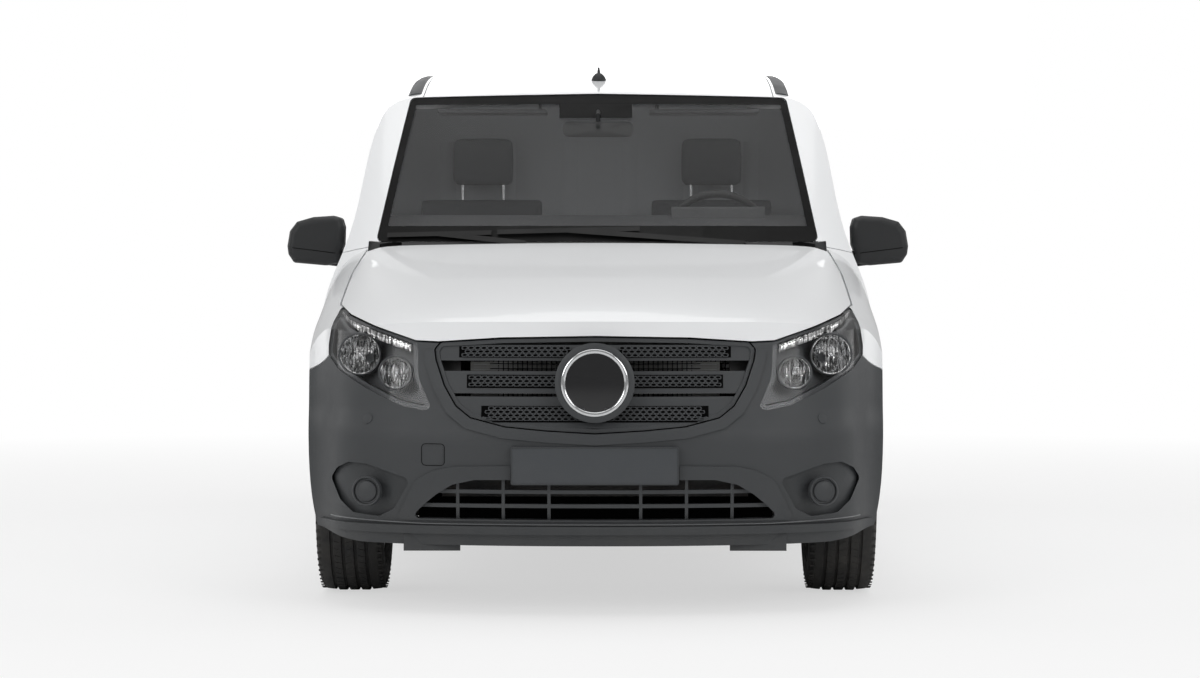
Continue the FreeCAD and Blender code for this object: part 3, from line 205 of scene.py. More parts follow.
def makeDustGroup():
    # road dust that thins out upwards, and a slow change of shade everywhere
    group, given, result = newTree(
        "roadDust", "ShaderNodeTree",
        [("Vector", "NodeSocketVector", None), ("Clean", "NodeSocketColor", (0.8, 0.8, 0.8, 1)),
         ("Dust", "NodeSocketColor", (0.3, 0.27, 0.23, 1)), ("Full Below", "NodeSocketFloat", 0.2),
         ("None Above", "NodeSocketFloat", 0.7), ("Amount", "NodeSocketFloat", 0.2),
         ("Shade", "NodeSocketFloat", 0.04)],
        [("Color", "NodeSocketColor")])
    split = addNode(group, "ShaderNodeSeparateXYZ")
    low = addNode(group, "ShaderNodeMapRange", To_Min=1.0, To_Max=0.0)
    blotch = addNode(group, "ShaderNodeTexNoise", Scale=7.0, Detail=6.0, Roughness=0.7)
    cut = addNode(group, "ShaderNodeMapRange", From_Min=0.35, From_Max=0.75)
    times = addNode(group, "ShaderNodeMath", {"operation": "MULTIPLY"})
    amount = addNode(group, "ShaderNodeMath", {"operation": "MULTIPLY", "use_clamp": True})
    slow = addNode(group, "ShaderNodeTexNoise", Scale=1.7, Detail=3.0)
    darker = addNode(group, "ShaderNodeMath", {"operation": "MULTIPLY"})
    shade = addNode(group, "ShaderNodeMix", {"data_type": "RGBA", "blend_type": "MULTIPLY"})
    mix = addNode(group, "ShaderNodeMix", {"data_type": "RGBA"})
    link = group.links.new
    link(given.outputs["Vector"], split.inputs[0])
    link(given.outputs["Vector"], blotch.inputs["Vector"])
    link(given.outputs["Vector"], slow.inputs["Vector"])
    link(split.outputs["Z"], low.inputs["Value"])
    link(given.outputs["Full Below"], low.inputs["From Min"])
    link(given.outputs["None Above"], low.inputs["From Max"])
    link(blotch.outputs["Fac"], cut.inputs["Value"])
    link(low.outputs["Result"], times.inputs[0])
    link(cut.outputs["Result"], times.inputs[1])
    link(times.outputs[0], amount.inputs[0])
    link(given.outputs["Amount"], amount.inputs[1])
    link(slow.outputs["Fac"], darker.inputs[0])
    link(given.outputs["Shade"], darker.inputs[1])
    link(darker.outputs[0], shade.inputs["Factor"])
    link(given.outputs["Clean"], shade.inputs["A"])
    shade.inputs["B"].default_value = (0.2, 0.2, 0.2, 1)
    link(shade.outputs["Result"], mix.inputs["A"])
    link(given.outputs["Dust"], mix.inputs["B"])
    link(amount.outputs[0], mix.inputs["Factor"])
    link(mix.outputs["Result"], result.inputs["Color"])
    return group


grainGroup = makeGrainGroup()
dustGroup = makeDustGroup()


def newMaterial(name, gloss):
    # material whose roughness comes from the grain, and the nodes that its look is built on
    material = bpy.data.materials.new(name)
    material.use_nodes = True
    tree = material.node_tree
    shader = tree.nodes["Principled BSDF"]
    place = tree.nodes.new("ShaderNodeTexCoord")
    grain = addNode(tree, "ShaderNodeGroup", {"node_tree": grainGroup})
    tree.links.new(place.outputs["Object"], grain.inputs["Vector"])
    grain.inputs["Gloss Low"].default_value, grain.inputs["Gloss High"].default_value = gloss
    tree.links.new(grain.outputs["Roughness"], shader.inputs["Roughness"])
    return material, tree, shader, place, grain


def solidFinish(name, colour, gloss, fine, depth, metallic=0.0, coat=0.0, dust=0.15, dustTop=0.7,
                dustColour=(0.30, 0.27, 0.23), shade=0.05, specular=0.5):
    material, tree, shader, place, grain = newMaterial(name, gloss)
    road = addNode(tree, "ShaderNodeGroup", {"node_tree": dustGroup})
    bump = addNode(tree, "ShaderNodeBump", Strength=depth, Distance=0.001)
    tree.links.new(place.outputs["Object"], road.inputs["Vector"])
    grain.inputs["Fine"].default_value = fine
    for label, value in (("Clean", (*colour, 1)), ("Dust", (*dustColour, 1)), ("Amount", dust),
                         ("None Above", dustTop), ("Shade", shade)):
        road.inputs[label].default_value = value
    tree.links.new(grain.outputs["Height"], bump.inputs["Height"])
    tree.links.new(bump.outputs["Normal"], shader.inputs["Normal"])
    tree.links.new(road.outputs["Color"], shader.inputs["Base Color"])
    for label, value in (("Metallic", metallic), ("Coat Weight", coat), ("Coat Roughness", 0.05),
                         ("Specular IOR Level", specular), ("IOR", 1.45)):
        shader.inputs[label].default_value = value
    return material


def paneFinish(name, body, gloss, edgeMost=1.0, mirror=0.03):
    # thin pane: a mirror towards grazing views, the same from both sides,
    # else see-through but for the body share
    material, tree, shader, _, _ = newMaterial(name, gloss)
    edge = addNode(tree, "ShaderNodeLayerWeight", Blend=0.5)
    grazing = addNode(tree, "ShaderNodeMath", {"operation": "POWER"})
    grazing.inputs[1].default_value = 5.0
    tree.links.new(edge.outputs["Facing"], grazing.inputs[0])
    alpha = addNode(tree, "ShaderNodeMapRange", To_Min=body, To_Max=edgeMost)
    bright = addNode(tree, "ShaderNodeMapRange", To_Min=mirror / (body + mirror), To_Max=0.95)
    for node in (alpha, bright):
        tree.links.new(grazing.outputs[0], node.inputs["Value"])
    tree.links.new(alpha.outputs["Result"], shader.inputs["Alpha"])
    tree.links.new(bright.outputs["Result"], shader.inputs["Base Color"])
    shader.inputs["Metallic"].default_value = 1.0
    return material


def streakyMirror(name):
    # bright lamp bowl with upright streaks, lighter and darker: painted reflections in its colour
    material = solidFinish(name, (0.9, 0.9, 0.9), (0.05, 0.12), 300, 0.01, metallic=1.0, dust=0.0)
    tree = material.node_tree
    shader = tree.nodes["Principled BSDF"]
    place = tree.nodes.new("ShaderNodeTexCoord")
    stretch = addNode(tree, "ShaderNodeMapping")
    stretch.inputs["Scale"].default_value = (150.0, 30.0, 22.0)
    streaks = addNode(tree, "ShaderNodeTexNoise", Scale=1.0, Detail=3.0, Roughness=0.6)
    spread = addNode(tree, "ShaderNodeMapRange", From_Min=0.40, From_Max=0.58, To_Min=0.14, To_Max=1.0)
    tree.links.new(place.outputs["Object"], stretch.inputs["Vector"])
    tree.links.new(stretch.outputs["Vector"], streaks.inputs["Vector"])
    tree.links.new(streaks.outputs["Fac"], spread.inputs["Value"])
    tree.links.new(spread.outputs["Result"], shader.inputs["Base Color"])
    return material


# name: colour, gloss from and to, grains per metre, depth of the grain, other values
solidLooks = {
    "whitePaint": ((0.83, 0.84, 0.85), (0.30, 0.31), 420, 0.002,
                   dict(coat=0.5, dust=0.08, dustTop=0.6, shade=0.006)),
    "bumperPlastic": ((0.044, 0.047, 0.050), (0.46, 0.56), 1500, 0.14, dict(dust=0.06, dustTop=0.45)),
    "darkPlastic": ((0.016, 0.017, 0.018), (0.42, 0.55), 1600, 0.15, dict(dust=0.04, dustTop=0.4)),
    # lighter grey for the ridge above the splitter: a painted highlight
    "paintedHighlightGrey": ((0.16, 0.165, 0.17), (0.28, 0.36), 1500, 0.05, dict(dust=0.03, dustTop=0.4)),
    "wiperBlack": ((0.006, 0.006, 0.006), (0.5, 0.6), 1200, 0.08, dict(dust=0.0, specular=0.25)),
    "glossBlack": ((0.008, 0.008, 0.009), (0.12, 0.2), 500, 0.02, dict(coat=0.4, dust=0.0)),
    "chrome": ((0.72, 0.73, 0.74), (0.06, 0.14), 300, 0.01, dict(metallic=1.0, dust=0.03)),
    "lampBezel": ((0.055, 0.058, 0.062), (0.3, 0.42), 900, 0.05, dict(metallic=0.2, dust=0.0)),
    "mirrorGlass": ((0.80, 0.82, 0.84), (0.02, 0.05), 300, 0.0, dict(metallic=1.0, dust=0.0, shade=0.0)),
    "brightTrim": ((0.62, 0.63, 0.65), (0.16, 0.26), 500, 0.02, dict(metallic=0.9, dust=0.0)),
    "amberLens": ((0.72, 0.20, 0.01), (0.06, 0.12), 400, 0.01, dict(coat=0.5, dust=0.05)),
    "paleLens": ((0.62, 0.62, 0.62), (0.06, 0.12), 400, 0.01, dict(coat=0.5, dust=0.05)),
    "seatCloth": ((0.030, 0.032, 0.036), (0.86, 0.95), 750, 0.12, dict(dust=0.0, shade=0.15)),
    "rubberMat": ((0.02, 0.02, 0.021), (0.6, 0.75), 900, 0.5, dict(dust=0.2, dustTop=1.0)),
    "galvanised": ((0.50, 0.51, 0.52), (0.35, 0.5), 150, 0.2, dict(metallic=0.85, dust=0.15, dustTop=1.5)),
    "redLens": ((0.42, 0.012, 0.014), (0.06, 0.12), 400, 0.01, dict(coat=0.5, dust=0.05)),
    "frit": ((0.003, 0.003, 0.003), (0.5, 0.62), 700, 0.02, dict(dust=0.0, shade=0.2, specular=0.12)),
    # near-black for behind the grille holes and the lower opening: painted shade where only shade is seen
    "paintedShadeBlack": ((0.0015, 0.0015, 0.0016), (0.7, 0.85), 700, 0.05, dict(dust=0.0, shade=0.2, specular=0.05)),
    "tyreRubber": ((0.016, 0.0165, 0.017), (0.62, 0.8), 700, 0.25,
                   dict(dust=0.25, dustTop=0.75, dustColour=(0.16, 0.145, 0.125))),
    "wheelSilver": ((0.45, 0.46, 0.47), (0.28, 0.4), 900, 0.05, dict(metallic=0.8, coat=0.3, dust=0.25)),
    "underbody": ((0.025, 0.025, 0.026), (0.55, 0.75), 260, 0.4,
                  dict(dust=0.45, dustTop=0.9, dustColour=(0.15, 0.13, 0.11))),
    "castAlloy": ((0.36, 0.36, 0.35), (0.42, 0.6), 380, 0.5,
                  dict(metallic=0.7, dust=0.3, dustTop=1.0, dustColour=(0.12, 0.10, 0.08))),
    "heatedSteel": ((0.34, 0.30, 0.26), (0.35, 0.55), 200, 0.2,
                    dict(metallic=0.85, dust=0.4, dustTop=0.7, dustColour=(0.20, 0.12, 0.07))),
    "cabPlastic": ((0.045, 0.047, 0.05), (0.5, 0.65), 900, 0.35, dict(dust=0.0)),
    "plateFace": ((0.055, 0.060, 0.066), (0.42, 0.5), 1500, 0.1, dict(dust=0.06)),
    "greyWall": ((0.22, 0.23, 0.24), (0.5, 0.65), 700, 0.3, dict(dust=0.1, dustTop=1.0)),
}
# name: share of the body, gloss from and to, most at the edge, mirror share
paneLooks = {
    "clearLens": (0.012, (0.02, 0.05), 0.7),
    "tintedGlass": (0.10, (0.01, 0.03), 0.9, 0.014),
    "privacyGlass": (0.55, (0.02, 0.05)),
}
finishes = {name: solidFinish(name, *look, **more) for name, (*look, more) in solidLooks.items()}
finishes.update({name: paneFinish(name, *look) for name, look in paneLooks.items()})
# lamp bowls and the lamp's top strip carry painted reflection streaks in their colour
finishes["reflector"] = streakyMirror("reflector")

nodeFinish = {
    "whitePaint": ["front_wings", "side_panel_left", "side_panel_right", "sliding_door", "roof_panel",
                   "bonnet",
                   "front_door_left", "front_door_right", "rear_door_left", "rear_door_right"],
    "bumperPlastic": ["front_bumper", "rear_bumper", "grille"],
    "darkPlastic": ["mirror_left", "mirror_right", "steering_wheel", "fuel_tank"],
    "wiperBlack": ["wipers"],
    "clearLens": ["headlamp_lenses"],
    "lampBezel": ["headlamps"],
    "redLens": ["tail_lamps"],
    "tintedGlass": ["windscreen", "door_glass_left", "door_glass_right"],
    "privacyGlass": ["rear_glass_left", "rear_glass_right"],
    "plateFace": ["number_plate"],
    "tyreRubber": ["tyre_front_left", "tyre_front_right", "tyre_rear_left", "tyre_rear_right"],
    "wheelSilver": ["wheel_front_left", "wheel_front_right", "wheel_rear_left", "wheel_rear_right"],
    "underbody": ["floor_pan", "front_structure", "firewall", "front_subframe", "rear_suspension",
                  "strut_left", "strut_right"],
    "castAlloy": ["engine_block", "radiator", "knuckle_left", "knuckle_right"],
    "heatedSteel": ["exhaust"],
    "cabPlastic": ["dashboard", "driver_seat", "bench_seat", "seat_bases"],
    "greyWall": ["load_bulkhead"],
}
for finish, members in nodeFinish.items():
    for name in members:
        nodes[name].data.materials.clear()
        nodes[name].data.materials.append(finishes[finish])
print("stage: finishes")

# mesh helpers
def surfaceOf(*names):
    # one tree of the named CAD nodes' faces, to lay pieces on
    points, faces = [], []
    for name in names:
        mesh, start = nodes[name].data, len(points)
        points += [v.co.copy() for v in mesh.vertices]
        faces += [[start + i for i in p.vertices] for p in mesh.polygons]
    return BVHTree.FromPolygons(points, faces)


def hit(tree, start, direction, fallback=None):
    place, normal, _, _ = tree.ray_cast(Vector(start), Vector(direction))
    return (place, normal) if place is not None else (fallback, Vector(direction) * -1)


def tubeInto(bm, points, radius, sides=12, closed=False):
    points = [Vector(p) for p in points]
    count, rings, side = len(points), [], None
    for i, point in enumerate(points):
        before = points[i - 1] if (i or closed) else point
        after = points[(i + 1) % count] if (i < count - 1 or closed) else point
        along = (after - before).normalized()
        if side is None:
            side = along.orthogonal().normalized()
        side = (side - along * side.dot(along)).normalized()
        other = along.cross(side)
        size = radius[i] if isinstance(radius, (list, tuple)) else radius
        rings.append([bm.verts.new(point + (side * math.cos(t) + other * math.sin(t)) * size)
                      for t in (2 * math.pi * k / sides for k in range(sides))])
    joints = list(zip(rings, rings[1:])) + ([(rings[-1], rings[0])] if closed else [])
    for a, b in joints:
        for k in range(sides):
            bm.faces.new((a[k - 1], a[k], b[k], b[k - 1]))
    if not closed:
        bm.faces.new(rings[0])
        bm.faces.new(list(reversed(rings[-1])))


def axes(origin, axis, up=(0, 0, 1)):
    # matrix whose local z runs along the axis
    z = Vector(axis).normalized()
    x = Vector(up).cross(z)
    if x.length < 1e-4:
        x = Vector((1, 0, 0)).cross(z)
    x.normalize()
    y = z.cross(x)
    return Matrix.Translation(Vector(origin)) @ Matrix((x, y, z)).transposed().to_4x4()


def latheInto(bm, profile, place, steps=48):
    # profile of (along, radius) turned about local z; radius 0 closes to a point
    rings = []
    for along, radius in profile:
        if radius < 1e-6:
            rings.append([bm.verts.new(place @ Vector((0, 0, along)))])
        else:
            rings.append([bm.verts.new(place @ Vector((radius * math.cos(t), radius * math.sin(t), along)))
                          for t in (2 * math.pi * k / steps for k in range(steps))])
    for a, b in zip(rings, rings[1:]):
        for k in range(steps):
            if len(a) == 1 and len(b) == 1:
                continue
            if len(a) == 1:
                bm.faces.new((a[0], b[k], b[k - 1]))
            elif len(b) == 1:
                bm.faces.new((a[k - 1], a[k], b[0]))
            else:
                bm.faces.new((a[k - 1], a[k], b[k], b[k - 1]))


def ringInto(bm, profile, place, steps=48):
    # closed profile turned about local z, with no pole
    rings = [[bm.verts.new(place @ Vector((radius * math.cos(t), radius * math.sin(t), along)))
              for t in (2 * math.pi * k / steps for k in range(steps))] for along, radius in profile]
    for a, b in zip(rings, rings[1:] + rings[:1]):
        for k in range(steps):
            bm.faces.new((a[k - 1], a[k], b[k], b[k - 1]))


def boxInto(bm, low, high, bevel=0.0, segments=2):
    low, high = Vector(low), Vector(high)
    made = bmesh.ops.create_cube(bm, size=1.0, matrix=Matrix.LocRotScale(
        (low + high) / 2, None, high - low))
    if bevel:
        edges = list({e for v in made["verts"] for e in v.link_edges})
        bmesh.ops.bevel(bm, geom=edges, offset=bevel, segments=segments, profile=0.5, affect="EDGES")


def prismInto(bm, outline, near, far):
    # closed outline of (u, v), placed by two functions, capped at both ends
    a = [bm.verts.new(near(u, v)) for u, v in outline]
    b = [bm.verts.new(far(u, v)) for u, v in outline]
    count = len(outline)
    for k in range(count):
        bm.faces.new((a[k - 1], a[k], b[k], b[k - 1]))
    caps = [bm.faces.new(list(reversed(a))), bm.faces.new(b)]
    bmesh.ops.triangulate(bm, faces=caps)


def patchInto(bm, us, vs, near, far):
    # closed slab over a grid, between two surfaces
    layers = [[[bm.verts.new(place(u, v)) for v in vs] for u in us] for place in (near, far)]
    m, n = len(us), len(vs)
    for i in range(m - 1):
        for j in range(n - 1):
            for layer in layers:
                bm.faces.new((layer[i][j], layer[i + 1][j], layer[i + 1][j + 1], layer[i][j + 1]))
    rim = ([(i, 0) for i in range(m)] + [(m - 1, j) for j in range(1, n)]
           + [(i, n - 1) for i in range(m - 2, -1, -1)] + [(0, j) for j in range(n - 2, 0, -1)])
    for (i, j), (k, l) in zip(rim, rim[1:] + rim[:1]):
        bm.faces.new((layers[0][i][j], layers[0][k][l], layers[1][k][l], layers[1][i][j]))


def roundedOutline(points, radius, steps=4):
    # corners of a closed outline turned by short arcs
    result, count = [], len(points)
    for i in range(count):
        p, q, r = (Vector(points[k % count]) for k in (i - 1, i, i + 1))
        a, b = p - q, r - q
        reach = min(radius, 0.45 * a.length, 0.45 * b.length)
        start, end = q + a.normalized() * reach, q + b.normalized() * reach
        for k in range(steps + 1):
            t = k / steps
            result.append(tuple((1 - t) ** 2 * start + 2 * t * (1 - t) * q + t * t * end))
    return result


def insetLoop(points, by):
    # closed outline moved inwards by a distance, or outwards if it is negative
    count = len(points)
    area = sum(points[i - 1][0] * points[i][1] - points[i][0] * points[i - 1][1] for i in range(count))
    sign, result = (1 if area > 0 else -1), []
    for i in range(count):
        p, q, r = (Vector(points[k % count]) for k in (i - 1, i, i + 1))
        a, b = (q - p).normalized(), (r - q).normalized()
        n, m = Vector((-a.y, a.x)) * sign, Vector((-b.y, b.x)) * sign
        result.append(tuple(q + (n + m) * (by / max(0.3, 1 + n.dot(m)))))
    return result


def finely(points, step, closed=True):
    # the same line with points no further apart than the step
    result, ends = [], list(zip(points, points[1:] + points[:1])) if closed else list(zip(points, points[1:]))
    for a, b in ends:
        a, b = Vector(a), Vector(b)
        count = max(1, math.ceil((b - a).length / step))
        result += [tuple(a + (b - a) * k / count) for k in range(count)]
    return result if closed else result + [tuple(points[-1])]


def bandInto(bm, outer, inner, place, low, high):
    # closed flat ring between two outlines of the same count; place(u, v, out) gives a point
    loops = [[bm.verts.new(place(u, v, out)) for u, v in line]
             for line, out in ((outer, low), (outer, high), (inner, high), (inner, low))]
    count = len(outer)
    for a, b in zip(loops, loops[1:] + loops[:1]):
        for k in range(count):
            bm.faces.new((a[k - 1], a[k], b[k], b[k - 1]))


def domeInto(bm, outline, place, low, high, crown=0.0, rings=5):
    # closed plate whose face is laid over an outline, crowned in its middle
    middle = Vector((sum(u for u, _ in outline) / len(outline), sum(v for _, v in outline) / len(outline)))
    count, layers = len(outline), []
    for r in range(rings + 1):
        share = 1 - r / rings
        rise = high + crown * (1 - share ** 2)
        if r == rings:
            layers.append([bm.verts.new(place(middle.x, middle.y, rise))])
        else:
            layers.append([bm.verts.new(place(*(middle + (Vector(q) - middle) * share), rise))
                           for q in outline])
    back = [bm.verts.new(place(u, v, low)) for u, v in outline]
    for k in range(count):
        bm.faces.new((back[k - 1], back[k], layers[0][k], layers[0][k - 1]))
        bm.faces.new((layers[-2][k - 1], layers[-2][k], layers[-1][0]))
        for a, b in zip(layers, layers[1:-1]):
            bm.faces.new((a[k - 1], a[k], b[k], b[k - 1]))
    floor = bm.verts.new(place(middle.x, middle.y, low))
    for k in range(count):
        bm.faces.new((back[k], back[k - 1], floor))


def span(low, high, steps):
    return [low + (high - low) * k / steps for k in range(steps + 1)]


def rectangle(u0, v0, u1, v1):
    return [(u0, v0), (u1, v0), (u1, v1), (u0, v1)]


def layInto(bm, us, vs, place, low, high):
    # closed slab over a surface, between two heights; place(u, v, out) gives a point
    patchInto(bm, us, vs, lambda u, v: place(u, v, low), lambda u, v: place(u, v, high))


def frameInto(bm, outline, place, rise):
    # shallow pressed frame: three bands side by side, the middle one highest
    for step, high in ((0.0, 0.0012), (0.006, rise), (0.016, 0.0012)):
        bandInto(bm, insetLoop(outline, step), insetLoop(outline, step + 0.008), place, -0.002, high)


def settle(piece, body, smooth):
    # smooth shading up to an angle, and the body that carries the piece
    mesh = piece.data
    mesh.polygons.foreach_set("use_smooth", [True] * len(mesh.polygons))
    mesh.set_sharp_from_angle(angle=math.radians(smooth))
    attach(piece, body)


def addPiece(name, bm, finish, body, smooth=38, merge=1e-5):
    if merge:
        bmesh.ops.remove_doubles(bm, verts=bm.verts, dist=merge)
    bmesh.ops.recalc_face_normals(bm, faces=bm.faces)
    if bm.calc_volume(signed=True) < 0:
        bmesh.ops.reverse_faces(bm, faces=bm.faces)
    mesh = bpy.data.meshes.new(name)
    bm.to_mesh(mesh)
    bm.free()
    piece = bpy.data.objects.new(name, mesh)
    scene.collection.objects.link(piece)
    mesh.materials.append(finishes[finish])
    settle(piece, body, smooth)
    return piece


def bothSides(make):
    # calls make once for each side of the van, with +1 for its left and -1 for its right
    for side, word in ((1, "Left"), (-1, "Right")):
        make(side, word)


def makeRepeatTree():
    # puts the cell on every point of the given mesh, its z along the point's "facing"
    # and its x along the point's "along", sized and jittered a little by the seed
    tree, given, result = newTree("repeatOnPoints", "GeometryNodeTree", [
        ("Geometry", "NodeSocketGeometry", None), ("Cell", "NodeSocketObject", None),
        ("Size", "NodeSocketFloat", 1.0), ("Jitter", "NodeSocketFloat", 0.0),
        ("Seed", "NodeSocketInt", 1), ("Finish", "NodeSocketMaterial", None)],
        [("Geometry", "NodeSocketGeometry")])
    tree.is_modifier = True
    link = tree.links.new
    cell = addNode(tree, "GeometryNodeObjectInfo", {"transform_space": "ORIGINAL"})
    place = addNode(tree, "GeometryNodeInstanceOnPoints")
    facing, along, scale = (
        addNode(tree, "GeometryNodeInputNamedAttribute", {"data_type": "FLOAT_VECTOR"}, Name=name)
        for name in ("facing", "along", "size"))
    turnZ = addNode(tree, "FunctionNodeAlignRotationToVector", {"axis": "Z"})
    turnX = addNode(tree, "FunctionNodeAlignRotationToVector", {"axis": "X", "pivot_axis": "Z"})
    jitter = addNode(tree, "FunctionNodeRandomValue", {"data_type": "FLOAT"})
    high = addNode(tree, "ShaderNodeMath", {"operation": "ADD"})
    high.inputs[1].default_value = 1.0
    times = addNode(tree, "ShaderNodeMath", {"operation": "MULTIPLY"})
    stretch = addNode(tree, "ShaderNodeVectorMath", {"operation": "SCALE"})
    real = addNode(tree, "GeometryNodeRealizeInstances")
    paint = addNode(tree, "GeometryNodeSetMaterial")
    link(given.outputs["Geometry"], place.inputs["Points"])
    link(given.outputs["Cell"], cell.inputs["Object"])
    link(cell.outputs["Geometry"], place.inputs["Instance"])
    link(facing.outputs["Attribute"], turnZ.inputs["Vector"])
    link(turnZ.outputs["Rotation"], turnX.inputs["Rotation"])
    link(along.outputs["Attribute"], turnX.inputs["Vector"])
    link(turnX.outputs["Rotation"], place.inputs["Rotation"])
    link(given.outputs["Jitter"], high.inputs[0])
    floats = [s for s in jitter.inputs if s.type == "VALUE"]
    floats[0].default_value = 1.0
    link(high.outputs[0], floats[1])
    link(given.outputs["Seed"], jitter.inputs["Seed"])
    link([s for s in jitter.outputs if s.type == "VALUE"][0], times.inputs[0])
    link(given.outputs["Size"], times.inputs[1])
    link(scale.outputs["Attribute"], stretch.inputs[0])
    link(times.outputs[0], stretch.inputs["Scale"])
    link(stretch.outputs[0], place.inputs["Scale"])
    link(place.outputs["Instances"], real.inputs["Geometry"])
    link(real.outputs["Geometry"], paint.inputs["Geometry"])
    link(given.outputs["Finish"], paint.inputs["Material"])
    link(paint.outputs["Geometry"], result.inputs["Geometry"])
    return tree


repeatTree = makeRepeatTree()


def plainMesh(holder, name):
    # the evaluated object as a plain mesh at the world's origin
    bpy.context.view_layer.update()
    done = bpy.data.meshes.new_from_object(holder.evaluated_get(bpy.context.evaluated_depsgraph_get()))
    done.name = name
    piece = bpy.data.objects.new(name, done)
    scene.collection.objects.link(piece)
    return piece


def repeatPiece(name, cellBuilder, spots, finish, body, size=1.0, jitter=0.0, seed=1, smooth=40):
    # spots: (place, facing, along, size as three numbers)
    cellBm = bmesh.new()
    cellBuilder(cellBm)
    bmesh.ops.recalc_face_normals(cellBm, faces=cellBm.faces)
    cellMesh = bpy.data.meshes.new(name + "Cell")
    cellBm.to_mesh(cellMesh)
    cellBm.free()
    cell = bpy.data.objects.new(name + "Cell", cellMesh)
    points = bpy.data.meshes.new(name + "Spots")
    points.from_pydata([tuple(s[0]) for s in spots], [], [])
    for key, column in (("facing", 1), ("along", 2), ("size", 3)):
        attribute = points.attributes.new(key, "FLOAT_VECTOR", "POINT")
        attribute.data.foreach_set("vector", [c for s in spots for c in tuple(s[column])])
    holder = bpy.data.objects.new(name + "Spots", points)
    scene.collection.objects.link(holder)
    modifier = holder.modifiers.new("repeat", "NODES")
    modifier.node_group = repeatTree
    sockets = {s.name: s.identifier for s in repeatTree.interface.items_tree if s.in_out == "INPUT"}
    for label, value in (("Cell", cell), ("Size", size), ("Jitter", jitter), ("Seed", seed),
                         ("Finish", finishes[finish])):
        modifier[sockets[label]] = value
    piece = plainMesh(holder, name)
    bpy.data.objects.remove(holder)
    bpy.data.objects.remove(cell)
    if not piece.data.materials:
        piece.data.materials.append(finishes[finish])
    settle(piece, body, smooth)
    return piece


noseSkin = surfaceOf("front_bumper", "grille", "bonnet", "front_wings", "headlamp_lenses", "number_plate")
tailSkin = surfaceOf("rear_bumper", "rear_door_left", "rear_door_right", "side_panel_left",
                     "side_panel_right",
                     "tail_lamps", "rear_glass_left", "rear_glass_right", "roof_panel")
sideSkin = surfaceOf("side_panel_left", "side_panel_right", "sliding_door", "front_door_left",
                     "front_door_right", "front_wings", "front_bumper", "rear_bumper", "roof_panel",
                     "door_glass_left", "door_glass_right")
topSkin = surfaceOf("roof_panel", "bonnet", "side_panel_left", "side_panel_right", "front_wings")


def onNose(x, z, out=0.0, skin=None):
    place, _ = hit(skin or noseSkin, (x, -3.2, z), (0, 1, 0), Vector((x, -2.5, z)))
    return place + Vector((0, -out, 0))


def onTail(x, z, out=0.0):
    place, _ = hit(tailSkin, (x, 3.2, z), (0, -1, 0), Vector((x, 2.5, z)))
    return place + Vector((0, out, 0))


def onSide(side, y, z, out=0.0):
    place, _ = hit(sideSkin, (side * 1.6, y, z), (-side, 0, 0), Vector((side * 0.96, y, z)))
    return place + Vector((side * out, 0, 0))


def sideFace(side):
    return lambda y, z, out: onSide(side, y, z, out)


def onTop(x, y, out=0.0):
    place, _ = hit(topSkin, (x, y, 2.6), (0, 0, -1), Vector((x, y, 1.8)))
    return place + Vector((0, 0, out))


print("stage: helpers")

# nose: grille inserts, badge place, lamps and bumper fittings
grilleDress = {
    "rows": [  # inner x, outer x, low z, high z of each perforated insert, one side
        (0.076, 0.437, 0.816, 0.851),
        (0.114, 0.411, 0.720, 0.762),
        (0.020, 0.364, 0.613, 0.664),
    ],
    "pitch": (0.0205, 0.0112),
    "hole": (0.0150, 0.0080),
    "sheet": 0.0025,
    "proud": 0.0030,
}


def perforatedCell(bm):
    # one square of perforated sheet with an oval hole, 1 unit wide, its face towards +z
    steps = 16
    hx, hz = (grilleDress["hole"][0] / grilleDress["pitch"][0] / 2,
              grilleDress["hole"][1] / grilleDress["pitch"][0] / 2)
    tall = grilleDress["pitch"][1] / grilleDress["pitch"][0] / 2
    thick = grilleDress["sheet"] / grilleDress["pitch"][0]
    layers = []
    for level in (0, thick):
        inner, outer = [], []
        for k in range(steps):
            t = 2 * math.pi * (k + 0.5) / steps
            c, s = math.cos(t), math.sin(t)
            reach = 1 / max(abs(c) / 0.5, abs(s) / tall)
            inner.append(bm.verts.new((hx * c, hz * s, level)))
            outer.append(bm.verts.new((reach * c, reach * s, level)))
        layers.append((inner, outer))
    for k in range(steps):
        (a, b), (c, d) = layers
        bm.faces.new((c[k - 1], c[k], d[k], d[k - 1]))
        bm.faces.new((a[k - 1], b[k - 1], b[k], a[k]))
        bm.faces.new((a[k - 1], a[k], c[k], c[k - 1]))
        bm.faces.new((b[k - 1], d[k - 1], d[k], b[k]))


def grilleInserts():
    skin = surfaceOf("grille")
    spots = []
    pitchX, pitchZ = grilleDress["pitch"]
    for inner, outer, low, high in grilleDress["rows"]:
        rows = int((high - low) / pitchZ)
        for r in range(rows):
            z = (low + high) / 2 + (r - (rows - 1) / 2) * pitchZ
            for side in (-1, 1):
                count = int((outer - inner) / pitchX) - r % 2
                for c in range(count):
                    x = side * (inner + (c + 0.5 + 0.5 * (r % 2)) * pitchX)
                    place, normal = hit(skin, (x, -3.2, z), (0, 1, 0))
                    if place is None or normal.y > -0.3:
                        continue
                    spots.append((place + normal * grilleDress["proud"], normal, (1, 0, 0), (pitchX,) * 3))
    repeatPiece("grillePerforations", perforatedCell, spots, "bumperPlastic", "body",
                smooth=50)
    # near-black slabs behind the perforated inserts: painted shade seen through the holes
    bm = bmesh.new()
    for inner, outer, low, high in grilleDress["rows"]:
        for side in (-1, 1):
            us, vs = span(side * (inner + 0.002), side * (outer - 0.004), 18), span(low, high, 3)
            layInto(bm, us, vs, lambda x, z, out: onNose(x, z, out, skin), 0.0004, 0.0012)
    addPiece("grilleBacking", bm, "paintedShadeBlack", "body")


